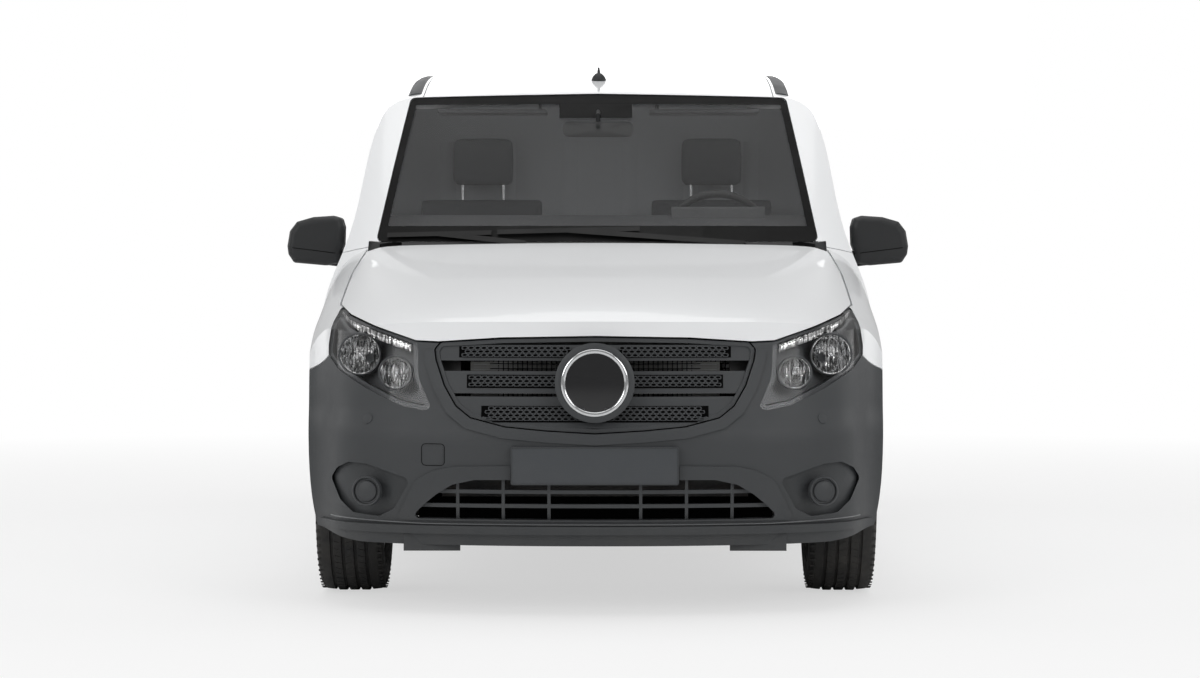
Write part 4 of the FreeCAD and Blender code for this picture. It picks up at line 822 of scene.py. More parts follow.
def latticeBar(bm):
    boxInto(bm, (-0.5, -0.5, -0.5), (0.5, 0.5, 0.5), 0.08, 1)


latticeDress = {
    "half": 0.46,       # half width of the grid
    "pitch": 0.0155,
    "top": 0.855,
    "foot": 0.60,
    "bend": 0.10,       # how far the grid runs back over half a metre
}


def grilleLattice():
    # fine grid in the dark gaps, behind the blades
    half, pitch, top = latticeDress["half"], latticeDress["pitch"], latticeDress["top"]
    spots = []

    def spot(x, y, z, along, size):
        back = latticeDress["bend"] * (abs(x) / 0.5) ** 2
        spots.append((Vector((x, y + back, z)), (0, 0, 1), along, size))
    for k in range(-30, 31):
        x = k * pitch
        low = latticeDress["foot"] + 0.075 * (abs(x) / half) ** 2.2
        spot(x, -2.395, (low + top) / 2, (1, 0, 0), (0.003, 0.008, top - low))
    for row in range(17):
        z = 0.607 + row * pitch
        reach = half if z > 0.70 else half * ((z - 0.575) / 0.125) ** 0.5
        for k in range(-7, 8):
            x = reach * k / 7.5
            spot(x, -2.399, z, (1, 0.4 * x, 0), (reach / 7.5 + 0.002, 0.005, 0.003))
    repeatPiece("grilleLattice", latticeBar, spots, "frit", "body")


badgeDress = {"centre": (0.0, 0.739), "ring": 0.100, "wire": 0.0085, "dome": 0.004}


def badgePlace():
    # a plain round place: a bright ring round a bare dark dome
    x, z = badgeDress["centre"]
    face = onNose(x, z).y
    place = axes((x, face, z), (0, -1, 0))
    bm = bmesh.new()
    radius, wire = badgeDress["ring"], badgeDress["wire"]
    ringInto(bm, [(wire * 0.8 * math.sin(t) + 0.001, radius + wire * math.cos(t))
                  for t in (2 * math.pi * k / 14 for k in range(14))], place, 72)
    addPiece("badgeRing", bm, "chrome", "body", 60)
    bm = bmesh.new()
    ringInto(bm,
             [(0.0004, radius + 0.004), (0.0055, radius + 0.0095), (0.0050, radius + 0.017),
              (0.0004, radius + 0.026),
                  (-0.004, radius + 0.024), (-0.004, radius + 0.006)], place, 72)
    addPiece("badgeCollar", bm, "bumperPlastic", "body", 40)
    bm = bmesh.new()
    inner = radius - wire * 0.6
    profile = [(badgeDress["dome"] * (1 - (r / inner) ** 2) + 0.0015, r)
               for r in (0, 0.02, 0.04, 0.06, 0.08, inner)]
    latheInto(bm, profile + [(0.0003, inner), (0.0003, 0.0)], place, 64)
    addPiece("badgeDome", bm, "glossBlack", "body", 50)


lampDress = {
    "reflectors": [(0.762, 0.822, 0.064), (0.640, 0.765, 0.050)],
    "flutes": 36,
    "flutePitch": 0.0105,
    "fluteDepth": 0.0045,
    "top": [(0.836, 0.955), (0.800, 0.930), (0.692, 0.893), (0.590, 0.856)],
    "topHeight": 0.026,
}


def lampReflectors(side, word):
    bm = bmesh.new()
    bulbs = bmesh.new()
    rims = bmesh.new()
    lensSkin = surfaceOf("headlamp_lenses")
    for x, z, radius in lampDress["reflectors"]:
        front, _ = hit(lensSkin, (side * x, -3.2, z), (0, 1, 0))
        depth = radius * 0.95
        place = axes((side * x, front.y + 0.030 + depth, z), (0, -1, 0))
        count = lampDress["flutes"] * 4
        rings = []
        for share in span(0.14, 1.0, 14):
            ring, along = [], share ** 2.6
            for k in range(count):
                t = 2 * math.pi * k / count
                u, v = radius * share * math.cos(t), radius * share * math.sin(t)
                flute = lampDress["fluteDepth"] * abs(math.sin(math.pi * u / lampDress["flutePitch"]))
                ring.append(bm.verts.new(
                    place @ Vector((u, v, along * depth - flute * min(1, 3 * (1 - share))))))
            rings.append(ring)
        for a, b in zip(rings, rings[1:]):
            for k in range(count):
                bm.faces.new((a[k - 1], a[k], b[k], b[k - 1]))
        bm.faces.new(rings[0])
        ringInto(rims,
                 [(depth - 0.004, radius), (depth + 0.002, radius - 0.001), (depth + 0.004, radius + 0.003),
                        (depth + 0.001, radius + 0.0065), (depth - 0.006, radius + 0.006)], place, 56)
        cap = [(0.0, 0.0), (0.0, radius * 0.15), (depth * 0.35, radius * 0.15), (depth * 0.5, radius * 0.13),
               (depth * 0.58, radius * 0.06), (depth * 0.6, 0)]
        latheInto(bulbs, cap, place, 24)
    reflectorPiece = addPiece("lampReflector" + word, bm, "reflector", "body", 30)
    solid = reflectorPiece.modifiers.new("wall", "SOLIDIFY")
    solid.thickness = 0.0015
    addPiece("lampBulbs" + word, bulbs, "chrome", "body")
    addPiece("lampRims" + word, rims, "lampBezel", "body", 60)


def lampTopBand(side, word):
    # ribbed bright strip along the top edge of the lamp, behind the lens
    lensSkin = surfaceOf("headlamp_lenses")
    top, height, ribs = lampDress["top"], lampDress["topHeight"], 12
    bm = bmesh.new()
    line = []
    for (ax, az), (bx, bz) in zip(top, top[1:]):
        for k in range(ribs):
            t = k / ribs
            line.append((ax + (bx - ax) * t, az + (bz - az) * t))
    line.append(top[-1])
    near = []
    for i, (x, z) in enumerate(line):
        place, _ = hit(lensSkin, (side * x, -3.2, z - 0.012), (0, 1, 0), Vector((side * x, -2.2, z)))
        wave = 0.0028 * (i % 2)
        near.append([bm.verts.new((side * x, place.y + 0.018 + wave, z)),
                     bm.verts.new((side * x, place.y + 0.016 + wave, z - height))])
    for a, b in zip(near, near[1:]):
        bm.faces.new((a[0], b[0], b[1], a[1]))
    piece = addPiece("lampTopBand" + word, bm, "reflector", "body", 10)
    solid = piece.modifiers.new("wall", "SOLIDIFY")
    solid.thickness = 0.002


fogDress = {"centre": (0.728, 0.390), "radius": 0.043}


def fogBlank(side, word):
    # round blank in the fog lamp recess: a rim, a shallow dish and a raised middle
    x, z = fogDress["centre"]
    front, _ = hit(noseSkin, (side * x, -3.2, z), (0, 1, 0), Vector((side * x, -2.44, z)))
    place = axes((side * x, front.y - 0.001, z), (side * 0.25, -1, 0))
    r = fogDress["radius"]
    bm = bmesh.new()
    latheInto(bm,
              [(-0.012, 0), (-0.012, r * 1.12), (0.004, r * 1.12), (0.008, r * 1.06), (0.007, r * 0.98),
               (-0.001, r * 0.92),
                   (-0.002, r * 0.80), (0.004, r * 0.74), (0.006, r * 0.66), (0.007, 0)], place, 56)
    addPiece("fogBlank" + word, bm, "bumperPlastic", "body", 35)


def bumperFittings():
    # towing eye cover on one side, washer caps under both lamps
    bm = bmesh.new()
    outline = roundedOutline(rectangle(-0.545, 0.480, -0.481, 0.539), 0.012)
    prismInto(bm, outline, lambda x, z: onNose(x, z, -0.003), lambda x, z: onNose(x, z, 0.0018))
    addPiece("towEyeCover", bm, "bumperPlastic", "body", 30)
    bm = bmesh.new()
    frameLine = roundedOutline(rectangle(-0.550, 0.475, -0.476, 0.544), 0.015)
    tubeInto(bm, [onNose(x, z, 0.0002) for x, z in frameLine], 0.0012, 6, closed=True)
    addPiece("towEyeSeam", bm, "frit", "body")
    bm = bmesh.new()
    for x in (-0.727, 0.727):
        spot = onNose(x, 0.619)
        _, normal = hit(noseSkin, (x, -3.2, 0.619), (0, 1, 0))
        latheInto(bm, [(-0.003, 0), (-0.003, 0.018), (0.0022, 0.017), (0.0030, 0.012), (0.0032, 0)],
                  axes(spot, normal), 28)
    addPiece("washerCaps", bm, "bumperPlastic", "body")


ductDress = {"half": 0.575, "heights": (0.290, 0.445), "near": -2.372, "wall": 0.006, "bend": 0.16}


def intakeDuct():
    # wall behind the lower opening, bent back at its ends, in near-black: painted shade in the opening
    def place(x, z, forward):
        return Vector((x, ductDress["near"] - forward + ductDress["bend"] * (abs(x) / 0.6) ** 2.4, z))
    half = ductDress["half"]
    bm = bmesh.new()
    layInto(bm, span(-half, half, 24), span(*ductDress["heights"], 3), place, 0.0, ductDress["wall"])
    addPiece("intakeDuct", bm, "paintedShadeBlack", "body", 40)


def plateRim():
    # raised edge of the blank plate place
    skin = surfaceOf("number_plate")
    outline = finely(roundedOutline(rectangle(-0.264, 0.418, 0.264, 0.536), 0.008, 4), 0.03)
    bm = bmesh.new()
    bandInto(bm, outline, insetLoop(outline, 0.0035), lambda x, z, out: onNose(x, z, out, skin), -0.001,
             0.0018)
    addPiece("plateRim", bm, "bumperPlastic", "body", 40)


def bumperLine():
    # thin ridge above the splitter, lighter grey than the bumper: a painted highlight along the crease
    bm = bmesh.new()
    tubeInto(bm, [onNose(x, 0.289 + 0.03 * max(0, abs(x) - 0.55), 0.0006) for x in span(-0.86, 0.86, 60)],
             0.0026, 8)
    addPiece("bumperLine", bm, "paintedHighlightGrey", "body", 60)


plateRim()
bumperLine()
grilleInserts()
grilleLattice()
intakeDuct()
badgePlace()
bothSides(lampReflectors)
bothSides(lampTopBand)
bothSides(fogBlank)
bumperFittings()
print("stage: nose")

# windscreen: printed border, sensor cover, inner mirror and visors
screenDress = {
    "half": [(0.786, 1.192), (0.704, 1.740), (0.0, 1.752)],
    "border": (0.036, 0.058, 0.036),    # share of the half width, foot and top in metres
    "tab": (-0.143, 0.126, 1.655),
    "mirror": (-0.130, 0.129, 1.583, 1.642, -0.80),
}
screenSkin = surfaceOf("windscreen")


def onScreen(x, z, out=0.0):
    place, _ = hit(screenSkin, (x, -3.2, z), (0, 1, 0), Vector((x, -1.4 + (z - 1.19) * 1.3, z)))
    return place + Vector((0, -out, 0))


def screenBorder():
    half = screenDress["half"]
    whole = half + [(-x, z) for x, z in reversed(half) if x > 0]
    outer = finely(insetLoop(roundedOutline(whole, 0.03), 0.0025), 0.03)
    side, foot, top = screenDress["border"]
    inner = [(x * (1 - side), min(max(z, 1.192 + foot), 1.746 - top)) for x, z in outer]
    bm = bmesh.new()
    bandInto(bm, outer, inner, onScreen, 0.0002, 0.0010)
    x0, x1, z0 = screenDress["tab"]
    layInto(bm, span(x0, x1, 8), span(z0, 1.722, 3), onScreen, 0.0002, 0.0009)
    addPiece("screenBorder", bm, "frit", "body", merge=0)


def sensorCover():
    x0, x1, z0 = screenDress["tab"]
    rows = [(z, onScreen((x0 + x1) / 2, z).y + 0.0105) for z in span(z0 + 0.012, 1.726, 4)]
    outline = [(y, z) for z, y in rows] + [(rows[-1][1] + 0.055, 1.728), (rows[-1][1] + 0.075, 1.700),
                                           (rows[1][1] + 0.10, 1.668)]
    bm = bmesh.new()
    prismInto(bm, outline, lambda y, z: Vector((x0 + 0.045, y, z)), lambda y, z: Vector((x1 - 0.045, y, z)))
    addPiece("sensorCover", bm, "darkPlastic", "body", 30)


def innerMirror():
    x0, x1, z0, z1, y = screenDress["mirror"]
    outline = roundedOutline(rectangle(x0, z0, x1, z1), 0.026, 6)
    bm = bmesh.new()
    domeInto(bm, outline, lambda x, z, out: Vector((x, y - out, z)), -0.006, 0.010, 0.014)
    tubeInto(bm,
             [(0.0, y, z1 - 0.012), (0.0, y - 0.02, z1 + 0.02), (0.0, onScreen(0, 1.69).y + 0.045, 1.69)],
             0.009, 10)
    addPiece("innerMirror", bm, "darkPlastic", "body", 40)
    bm = bmesh.new()
    domeInto(bm, insetLoop(outline, 0.004), lambda x, z, out: Vector((x, y + out, z)), 0.0055, 0.0072)
    addPiece("innerMirrorGlass", bm, "mirrorGlass", "body", 40)


def sunVisors():
    bm = bmesh.new()
    for side in (-1, 1):
        x0, x1 = sorted((side * 0.19, side * 0.60))
        boxInto(bm, (x0, -0.665, 1.676), (x1, -0.515, 1.694), 0.008, 3)
        tubeInto(bm, [(x0, -0.520, 1.685), (x1, -0.520, 1.685)], 0.006, 8)
        for x in (x0 + 0.03, x1 - 0.03):
            tubeInto(bm, [(x, -0.520, 1.685), (x, -0.500, 1.716)], 0.008, 8)
    addPiece("sunVisors", bm, "cabPlastic", "body", 40)


screenBorder()
sensorCover()
innerMirror()
sunVisors()
print("stage: windscreen")

# doors and sides
sideDress = {
    "window": [(-1.040, 1.200), (-0.470, 1.662), (-0.400, 1.684), (-0.245, 1.692), (-0.245, 1.200)],
    "moulding": (0.500, 0.590, 0.011),      # low, high, proud
    "doorSpan": (-1.175, -0.160),
    "sideSpans": [(-0.085, 0.965), (1.035, 1.165), (1.895, 2.165)],
    "handle": (-0.305, 1.000),
    "slidingHandle": (-0.005, 1.010),
    "slot": (1.030, 2.110, 1.075, 1.097),
    "beads": [(-0.055, 0.935), (1.065, 2.120)],
    "beadHeights": (1.200, 1.640),
}


def windowSeal(side, word):
    outline = finely(roundedOutline(sideDress["window"], 0.03, 5), 0.03)
    bm = bmesh.new()
    bandInto(bm, insetLoop(outline, -0.014), insetLoop(outline, 0.004), sideFace(side), -0.002, 0.0030)
    addPiece("windowSeal" + word, bm, "darkPlastic", "front_door_" + word.lower(), 35)


def mouldingInto(bm, side, low, high):
    z0, z1, proud = sideDress["moulding"]
    heights = [z0, z0 + 0.006, z0 + 0.02, z1 - 0.02, z1 - 0.006, z1]
    rises = {z0: 0.001, z1: 0.001, z0 + 0.006: proud * 0.7, z1 - 0.006: proud * 0.7}
    us = span(low, high, max(2, int((high - low) / 0.05)))

    def face(y, z):
        end = min(y - low, high - y)
        return onSide(side, y, z, min(rises.get(z, proud), 0.001 + end * 0.8))
    patchInto(bm, us, heights, lambda y, z: onSide(side, y, z, -0.002), face)


def sideMouldings(side, word):
    bm = bmesh.new()
    mouldingInto(bm, side, *sideDress["doorSpan"])
    addPiece("doorMoulding" + word, bm, "bumperPlastic", "front_door_" + word.lower(), 30)
    bm = bmesh.new()
    for low, high in sideDress["sideSpans"]:
        mouldingInto(bm, side, low, high)
    addPiece("sideMoulding" + word, bm, "bumperPlastic", "body", 30)


def handleInto(bm, place, half=0.088, tall=0.019):
    # place(u, v, out): u along the handle
    plate = roundedOutline(rectangle(-half, -tall, half, tall), tall * 0.9, 5)
    domeInto(bm, plate, place, -0.002, 0.004, 0.001, 3)
    line = [(-half * 0.86, 0.004), (-half * 0.74, 0.020), (-half * 0.3, 0.027), (half * 0.3, 0.027),
            (half * 0.74, 0.020),
            (half * 0.86, 0.004)]
    tubeInto(bm, [place(u, 0.004, out) for u, out in line], [0.009, 0.010, 0.011, 0.011, 0.010, 0.009], 12)


def doorHandles(side, word):
    y, z = sideDress["handle"]
    bm = bmesh.new()
    handleInto(bm, lambda u, v, out: onSide(side, y + u, z + v, out))
    spot, normal = hit(sideSkin, (side * 1.6, y + 0.066, z - 0.040), (-side, 0, 0))
    latheInto(bm, [(-0.002, 0), (-0.002, 0.011), (0.003, 0.011), (0.004, 0.008), (0.004, 0)],
              axes(spot, normal), 20)
    addPiece("doorHandle" + word, bm, "darkPlastic", "front_door_" + word.lower(), 40)


def slidingFittings():
    # the right side's loading door: handle, rail slot and the slot's surround
    y, z = sideDress["slidingHandle"]
    bm = bmesh.new()
    handleInto(bm, lambda u, v, out: onSide(-1, y + u, z + v, out))
    addPiece("slidingHandle", bm, "darkPlastic", "body", 40)
    y0, y1, z0, z1 = sideDress["slot"]
    bm = bmesh.new()
    layInto(bm, span(y0, y1, 22), span(z0, z1, 2), sideFace(-1), -0.001, 0.0008)
    addPiece("railSlot", bm, "frit", "body")
    bm = bmesh.new()
    outline = roundedOutline(rectangle(y0 - 0.012, z0 - 0.016, y1 + 0.02, z1 + 0.016), 0.012)
    fine = finely(outline, 0.05)
    bandInto(bm, fine, insetLoop(fine, 0.014), sideFace(-1), -0.002, 0.0045)
    addPiece("railSurround", bm, "whitePaint", "body", 40)


def panelBeads(side, word):
    # shallow pressed frame round each blank load panel
    z0, z1 = sideDress["beadHeights"]
    bm = bmesh.new()
    for y0, y1 in sideDress["beads"]:
        outline = finely(roundedOutline(rectangle(y0, z0, y1, z1), 0.06, 6), 0.05)
        frameInto(bm, outline, sideFace(side), 0.0032)
    addPiece("panelBeads" + word, bm, "whitePaint", "body", 50)


def fuelFlap():
    outline = finely(roundedOutline(rectangle(0.025, 0.880, 0.185, 1.040), 0.03, 6), 0.03)
    bm = bmesh.new()
    bandInto(bm, insetLoop(outline, -0.0022), insetLoop(outline, 0.0008), sideFace(1), -0.001, 0.0004)
    addPiece("fuelFlapSeam", bm, "frit", "body")
    bm = bmesh.new()
    dish = roundedOutline(rectangle(0.150, 0.945, 0.176, 0.975), 0.012, 5)
    domeInto(bm, dish, sideFace(1), -0.001, 0.0012)
    addPiece("fuelFlapGrip", bm, "darkPlastic", "body")


mirrorDress = {"glass": (0.948, 1.096, 1.142, 1.266), "seam": [(1.119, 1.176), (1.02, 1.164), (0.930, 1.152)]}


def mirrorDetails(side, word):
    skin = surfaceOf("mirror_" + word.lower())
    x0, x1, z0, z1 = mirrorDress["glass"]
    outline = roundedOutline([(side * x0, z0), (side * x1, z0), (side * (x1 - 0.006), z1),
                              (side * (x0 - 0.004), z1)], 0.02, 5)
    back, _ = hit(skin, (side * (x0 + x1) / 2, -0.6, (z0 + z1) / 2), (0, -1, 0), Vector((0, -0.98, 0)))
    bm = bmesh.new()
    domeInto(bm, outline, lambda x, z, out: Vector((x, back.y + out, z)), -0.001, 0.003, 0.002)
    addPiece("mirrorGlass" + word, bm, "mirrorGlass", "front_door_" + word.lower(), 40)
    bm = bmesh.new()
    line = finely([(side * x, z) for x, z in mirrorDress["seam"]], 0.02, closed=False)
    tubeInto(bm, [hit(skin, (x, -1.4, z), (0, 1, 0), Vector((x, -1.07, z)))[0] for x, z in line], 0.0016, 6)
    addPiece("mirrorSeam" + word, bm, "frit", "front_door_" + word.lower())


bothSides(windowSeal)
bothSides(sideMouldings)
bothSides(doorHandles)
bothSides(panelBeads)
bothSides(mirrorDetails)
slidingFittings()
fuelFlap()
print("stage: sides")

# roof: ditch mouldings, pressed ribs and the aerial
roofDress = {"ditch": (0.655, 0.705), "ribs": [0.0, 0.21, 0.42], "ribSpan": (0.05, 2.30),
             "aerial": (0.0, -0.35)}


def roofMouldings():
    inner, outer = roofDress["ditch"]
    bm = bmesh.new()
    for side in (-1, 1):
        xs = [side * (inner + (outer - inner) * t) for t in (0, 0.2, 0.5, 0.8, 1)]
        xs = [x + side * 0.012 for x in xs]
        rise = dict(zip(xs, (0.0005, 0.0045, 0.006, 0.0045, 0.0005)))
        patchInto(bm, span(-0.54, 2.40, 60), xs,
                  lambda y, x: onTop(x, y, -0.003), lambda y, x: onTop(x, y, rise[x]))
    addPiece("roofMouldings", bm, "bumperPlastic", "body", 40)


def roofRibs():
    low, high = roofDress["ribSpan"]
    bm = bmesh.new()
    for x in sorted({s * r for r in roofDress["ribs"] for s in (-1, 1)}):
        xs = [x + w for w in (-0.024, -0.017, -0.008, 0.0, 0.008, 0.017, 0.024)]
        rise = dict(zip(xs, (0.0, 0.0022, 0.0046, 0.0054, 0.0046, 0.0022, 0.0)))
        patchInto(bm, span(low, high, 44), xs, lambda y, u: onTop(u, y, -0.002),
                  lambda y, u: onTop(u, y, 0.0004 + rise[u] * min(1, (y - low) / 0.05, (high - y) / 0.05)))
    addPiece("roofRibs", bm, "whitePaint", "body", 50)


def roofAerial():
    x, y = roofDress["aerial"]
    base = onTop(x, y)
    bm = bmesh.new()
    latheInto(bm, [(-0.004, 0), (-0.004, 0.028), (0.006, 0.027), (0.017, 0.021), (0.026, 0.012), (0.030, 0)],
              Matrix.Translation(base), 28)
    tubeInto(bm, [base + Vector((0, 0, 0.018)), base + Vector((0, 0.014, 0.050))], [0.007, 0.004], 10)
    addPiece("aerial", bm, "darkPlastic", "body", 40)


roofMouldings()
roofRibs()
roofAerial()
print("stage: roof")

# tail: seals, handle, lamp bands, brake light and step
tailDress = {
    "window": [(0.075, 1.140), (0.690, 1.140), (0.645, 1.640), (0.075, 1.640)],
    "panel": [(0.075, 0.640), (0.700, 0.640), (0.690, 0.920), (0.075, 0.920)],
    "bands": [("paleLens", 0.875, 0.955), ("amberLens", 0.965, 1.060)],
    "handle": (0.105, 0.985),
    "step": (0.70, 2.475, 2.545),
}


def rearWindow(side, word):
    outline = finely(roundedOutline([(side * x, z) for x, z in tailDress["window"]], 0.06, 6), 0.04)
    bm = bmesh.new()
    bandInto(bm, insetLoop(outline, -0.014), insetLoop(outline, 0.006), onTail, -0.002, 0.003)
    addPiece("rearSeal" + word, bm, "darkPlastic", "rear_door_" + word.lower(), 35)


def rearPanel(side, word):
    # pressed frame on the lower door panel
    outline = finely(roundedOutline([(side * x, z) for x, z in tailDress["panel"]], 0.05, 6), 0.04)
    bm = bmesh.new()
    frameInto(bm, outline, onTail, 0.003)
    addPiece("rearPanelFrame" + word, bm, "whitePaint", "rear_door_" + word.lower(), 50)


def lampBands(side, word):
    skin = surfaceOf("tail_lamps")

    def place(x, z, out):
        spot, _ = hit(skin, (side * x, 3.2, z), (0, -1, 0), Vector((side * x, 2.45, z)))
        return spot + Vector((0, out, 0))
    for finish, low, high in tailDress["bands"]:
        inner = 0.842 - (low - 0.86) * 0.09
        bm = bmesh.new()
        layInto(bm, span(inner, 0.905, 8), span(low, high, 4), place, -0.001, 0.0012)
        addPiece(finish + "Band" + word, bm, finish, "body", 50)
    bm = bmesh.new()
    for k in range(9):
        z = 1.085 + k * 0.024
        xs = span(0.835 - (z - 0.86) * 0.09, 0.902, 8)
        tubeInto(bm, [place(x, z, 0) for x in xs], 0.0016, 6)
    addPiece("lampRibs" + word, bm, "redLens", "body")


def rearFittings():
    x, z = tailDress["handle"]
    bm = bmesh.new()
    handleInto(bm, lambda u, v, out: onTail(x + u, z + v, out), 0.070, 0.018)
    addPiece("rearHandle", bm, "darkPlastic", "rear_door_left", 40)
    for low, high, word in ((-0.13, -0.008, "Right"), (0.008, 0.13, "Left")):
        bm = bmesh.new()
        domeInto(bm, roundedOutline(rectangle(low, 1.712, high, 1.730), 0.006, 4), onTail, -0.002, 0.005,
                 0.002, 3)
        addPiece("brakeLight" + word, bm, "redLens", "rear_door_" + word.lower(), 40)
    half, y0, y1 = tailDress["step"]
    tread = surfaceOf("rear_bumper")
    bm = bmesh.new()
    for k in range(7):
        y = y0 + (y1 - y0) * k / 6
        xs = span(-half, half, 20)
        points = [hit(tread, (u, y, 1.0), (0, 0, -1), Vector((u, y, 0.545)))[0] for u in xs]
        tubeInto(bm, points, 0.0028, 6)
    addPiece("stepRibs", bm, "darkPlastic", "body", 50)


bothSides(rearWindow)
bothSides(rearPanel)
bothSides(lampBands)
rearFittings()
print("stage: tail")

# wheels: treaded tyres, bolts and valves
wheelDress = {
    "radius": 0.338, "width": 0.225, "rim": 0.203, "axleZ": 0.338,
    "axles": {"front": -1.675, "rear": 1.525}, "track": 0.825,
    "grooves": [-0.058, -0.020, 0.020, 0.058], "groove": 0.0045, "depth": 0.0070,
    "pitches": 72,
    "bolts": (5, 0.0565, 0.0105),
}


def tyreProfile():
    # (across, radius) from the outer bead over the tread to the inner bead
    w, r, rim = wheelDress["width"] / 2, wheelDress["radius"], wheelDress["rim"]
    side = [(0.0860, rim + 0.001), (0.0862, rim + 0.011), (0.0925, rim + 0.016), (0.0985, rim + 0.026),
            (0.1030, rim + 0.036),
            (0.1036, rim + 0.040), (0.1052, rim + 0.041), (0.1085, rim + 0.055), (w - 0.0005, r - 0.066),
            (w, r - 0.055),
            (w - 0.0015, r - 0.040), (w - 0.0050, r - 0.024), (w - 0.0090, r - 0.015),
            (w - 0.0130, r - 0.0105)]
    crown = []
    for x in span(-0.092, 0.092, 92):
        edge = min((abs(x - g) for g in wheelDress["grooves"]), default=1)
        low = wheelDress["depth"] if edge < wheelDress["groove"] else 0
        crown.append((x, r - 0.0008 - 0.0045 * (abs(x) / 0.092) ** 3 - low))
    return (side + list(reversed(crown)) + [(-a, b) for a, b in reversed(side)]
            + [(-0.060, rim + 0.006), (0.060, rim + 0.006)])


def sipeCell(bm):
    boxInto(bm, (-0.5, -0.5, -0.5), (0.5, 0.5, 0.5))


def treadBlocks(name, place, body):
    # shoulder lugs and slanted bars that stand on the ribs
    spots, pitches = [], wheelDress["pitches"]
    rows = [(-0.098, 0.0, 0.020, 0.0095), (-0.039, 0.35, 0.024, 0.0100), (0.0, -0.35, 0.026, 0.0100),
            (0.039, 0.35, 0.024, 0.0100),
            (0.098, 0.0, 0.020, 0.0095)]
    for across, slant, wide, long in rows:
        for k in range(pitches):
            t = 2 * math.pi * (k + (0.5 if abs(across) < 0.05 else 0)) / pitches
            out = Vector((0, math.cos(t), math.sin(t)))
            around = Vector((0, -math.sin(t), math.cos(t)))
            radius = wheelDress["radius"] - (0.0075 if abs(across) > 0.09 else 0.0008)
            centre = place @ Vector((across, 0, 0)) + out * radius
            spots.append((centre, out, Vector((1, 0, 0)) * math.cos(slant) + around * math.sin(slant),
                          (wide, long, 0.0024)))
    repeatPiece(name, sipeCell, spots, "tyreRubber", body, smooth=30)


def makeWheel(end, side, word):
    body = f"wheel_{end}_{word.lower()}"
    y, z = wheelDress["axles"][end], wheelDress["axleZ"]
    x = side * wheelDress["track"]
    place = Matrix.Translation((x, y, z))
    hub = axes((x, y, z), (side, 0, 0))
    bm = bmesh.new()
    ringInto(bm, tyreProfile(), hub, 144)
    tyre = addPiece(f"tyre{end.title()}{word}", bm, "tyreRubber", body, 32)
    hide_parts(f"tyre_{end}_{word.lower()}")
    treadBlocks(f"tread{end.title()}{word}", place, body)
    bm = bmesh.new()
    count, ring, size = wheelDress["bolts"]
    for k in range(count):
        t = 2 * math.pi * k / count + math.pi / 2
        latheInto(bm,
                  [(0.040, 0), (0.040, size * 1.15), (0.047, size * 1.15), (0.049, size * 0.95),
                   (0.058, size * 0.95),
                       (0.060, size * 0.8), (0.060, 0)],
                  hub @ Matrix.Translation((ring * math.cos(t), ring * math.sin(t), 0)), 6)
    addPiece(f"bolts{end.title()}{word}", bm, "brightTrim", body, 20)
    bm = bmesh.new()
    tubeInto(bm, [hub @ Vector((0.168, 0, 0.026)), hub @ Vector((0.160, 0, 0.062))], [0.0045, 0.0036], 10)
    addPiece(f"valve{end.title()}{word}", bm, "darkPlastic", body)


for end in ("front", "rear"):
    bothSides(lambda side, word: makeWheel(end, side, word))
print("stage: wheels")

# seats: soft cushions that take the CAD seats' place
seatDress = {
    # name: body, replaced node, list of (x0, x1, back top z), headrest centres
    "driver": ("body", "driver_seat", [(0.190, 0.690, 1.395)], [0.440]),
    "bench": ("body", "bench_seat", [(-0.710, -0.205, 1.395), (-0.206, 0.120, 1.300)], [-0.455]),
    "margin": 0.012,        # the fabric starts this far inside the solid's outline
    "voxel": 0.012,
    "padCap": 0.0108,       # no point of a seat or back pad moves further than this
    "restCap": 0.0096,      # the same for a headrest
    "frames": 12,
    "pressure": 4.0,
}


def puffed(name, bm, cap):
    # copy of a closed shape blown up by the cloth solver, no point moved further than the cap
    mesh = bpy.data.meshes.new(name)
    bm.normal_update()
    bm.to_mesh(mesh)
    bm.free()
    holder = bpy.data.objects.new(name, mesh)
    scene.collection.objects.link(holder)
    bpy.context.view_layer.objects.active = holder
    remesh = holder.modifiers.new("even", "REMESH")
    remesh.mode = "VOXEL"
    remesh.voxel_size = seatDress["voxel"]
    even = bpy.data.meshes.new_from_object(holder.evaluated_get(bpy.context.evaluated_depsgraph_get()))
    holder.modifiers.clear()
    holder.data = even
    start = [v.co.copy() for v in even.vertices]
    cloth = holder.modifiers.new("cloth", "CLOTH")
    settings = cloth.settings
    settings.use_pressure = True
    settings.uniform_pressure_force = seatDress["pressure"]
    settings.effector_weights.gravity = 0
    settings.mass = 0.4
    settings.tension_stiffness = settings.compression_stiffness = 14
    settings.bending_stiffness = 1.2
    cloth.collision_settings.use_collision = False
    scene.frame_start, scene.frame_end = 1, seatDress["frames"]
    for step in range(1, seatDress["frames"] + 1):
        scene.frame_set(step)
    shaped = bpy.data.meshes.new_from_object(holder.evaluated_get(bpy.context.evaluated_depsgraph_get()))
    holder.modifiers.clear()
    for v, old in zip(shaped.vertices, start):
        move = v.co - old
        v.co = old + move * min(1.0, cap / max(move.length, 1e-6))
    holder.data = shaped
    scene.frame_set(1)
    result = holder.data
    bpy.data.objects.remove(holder)
    return result


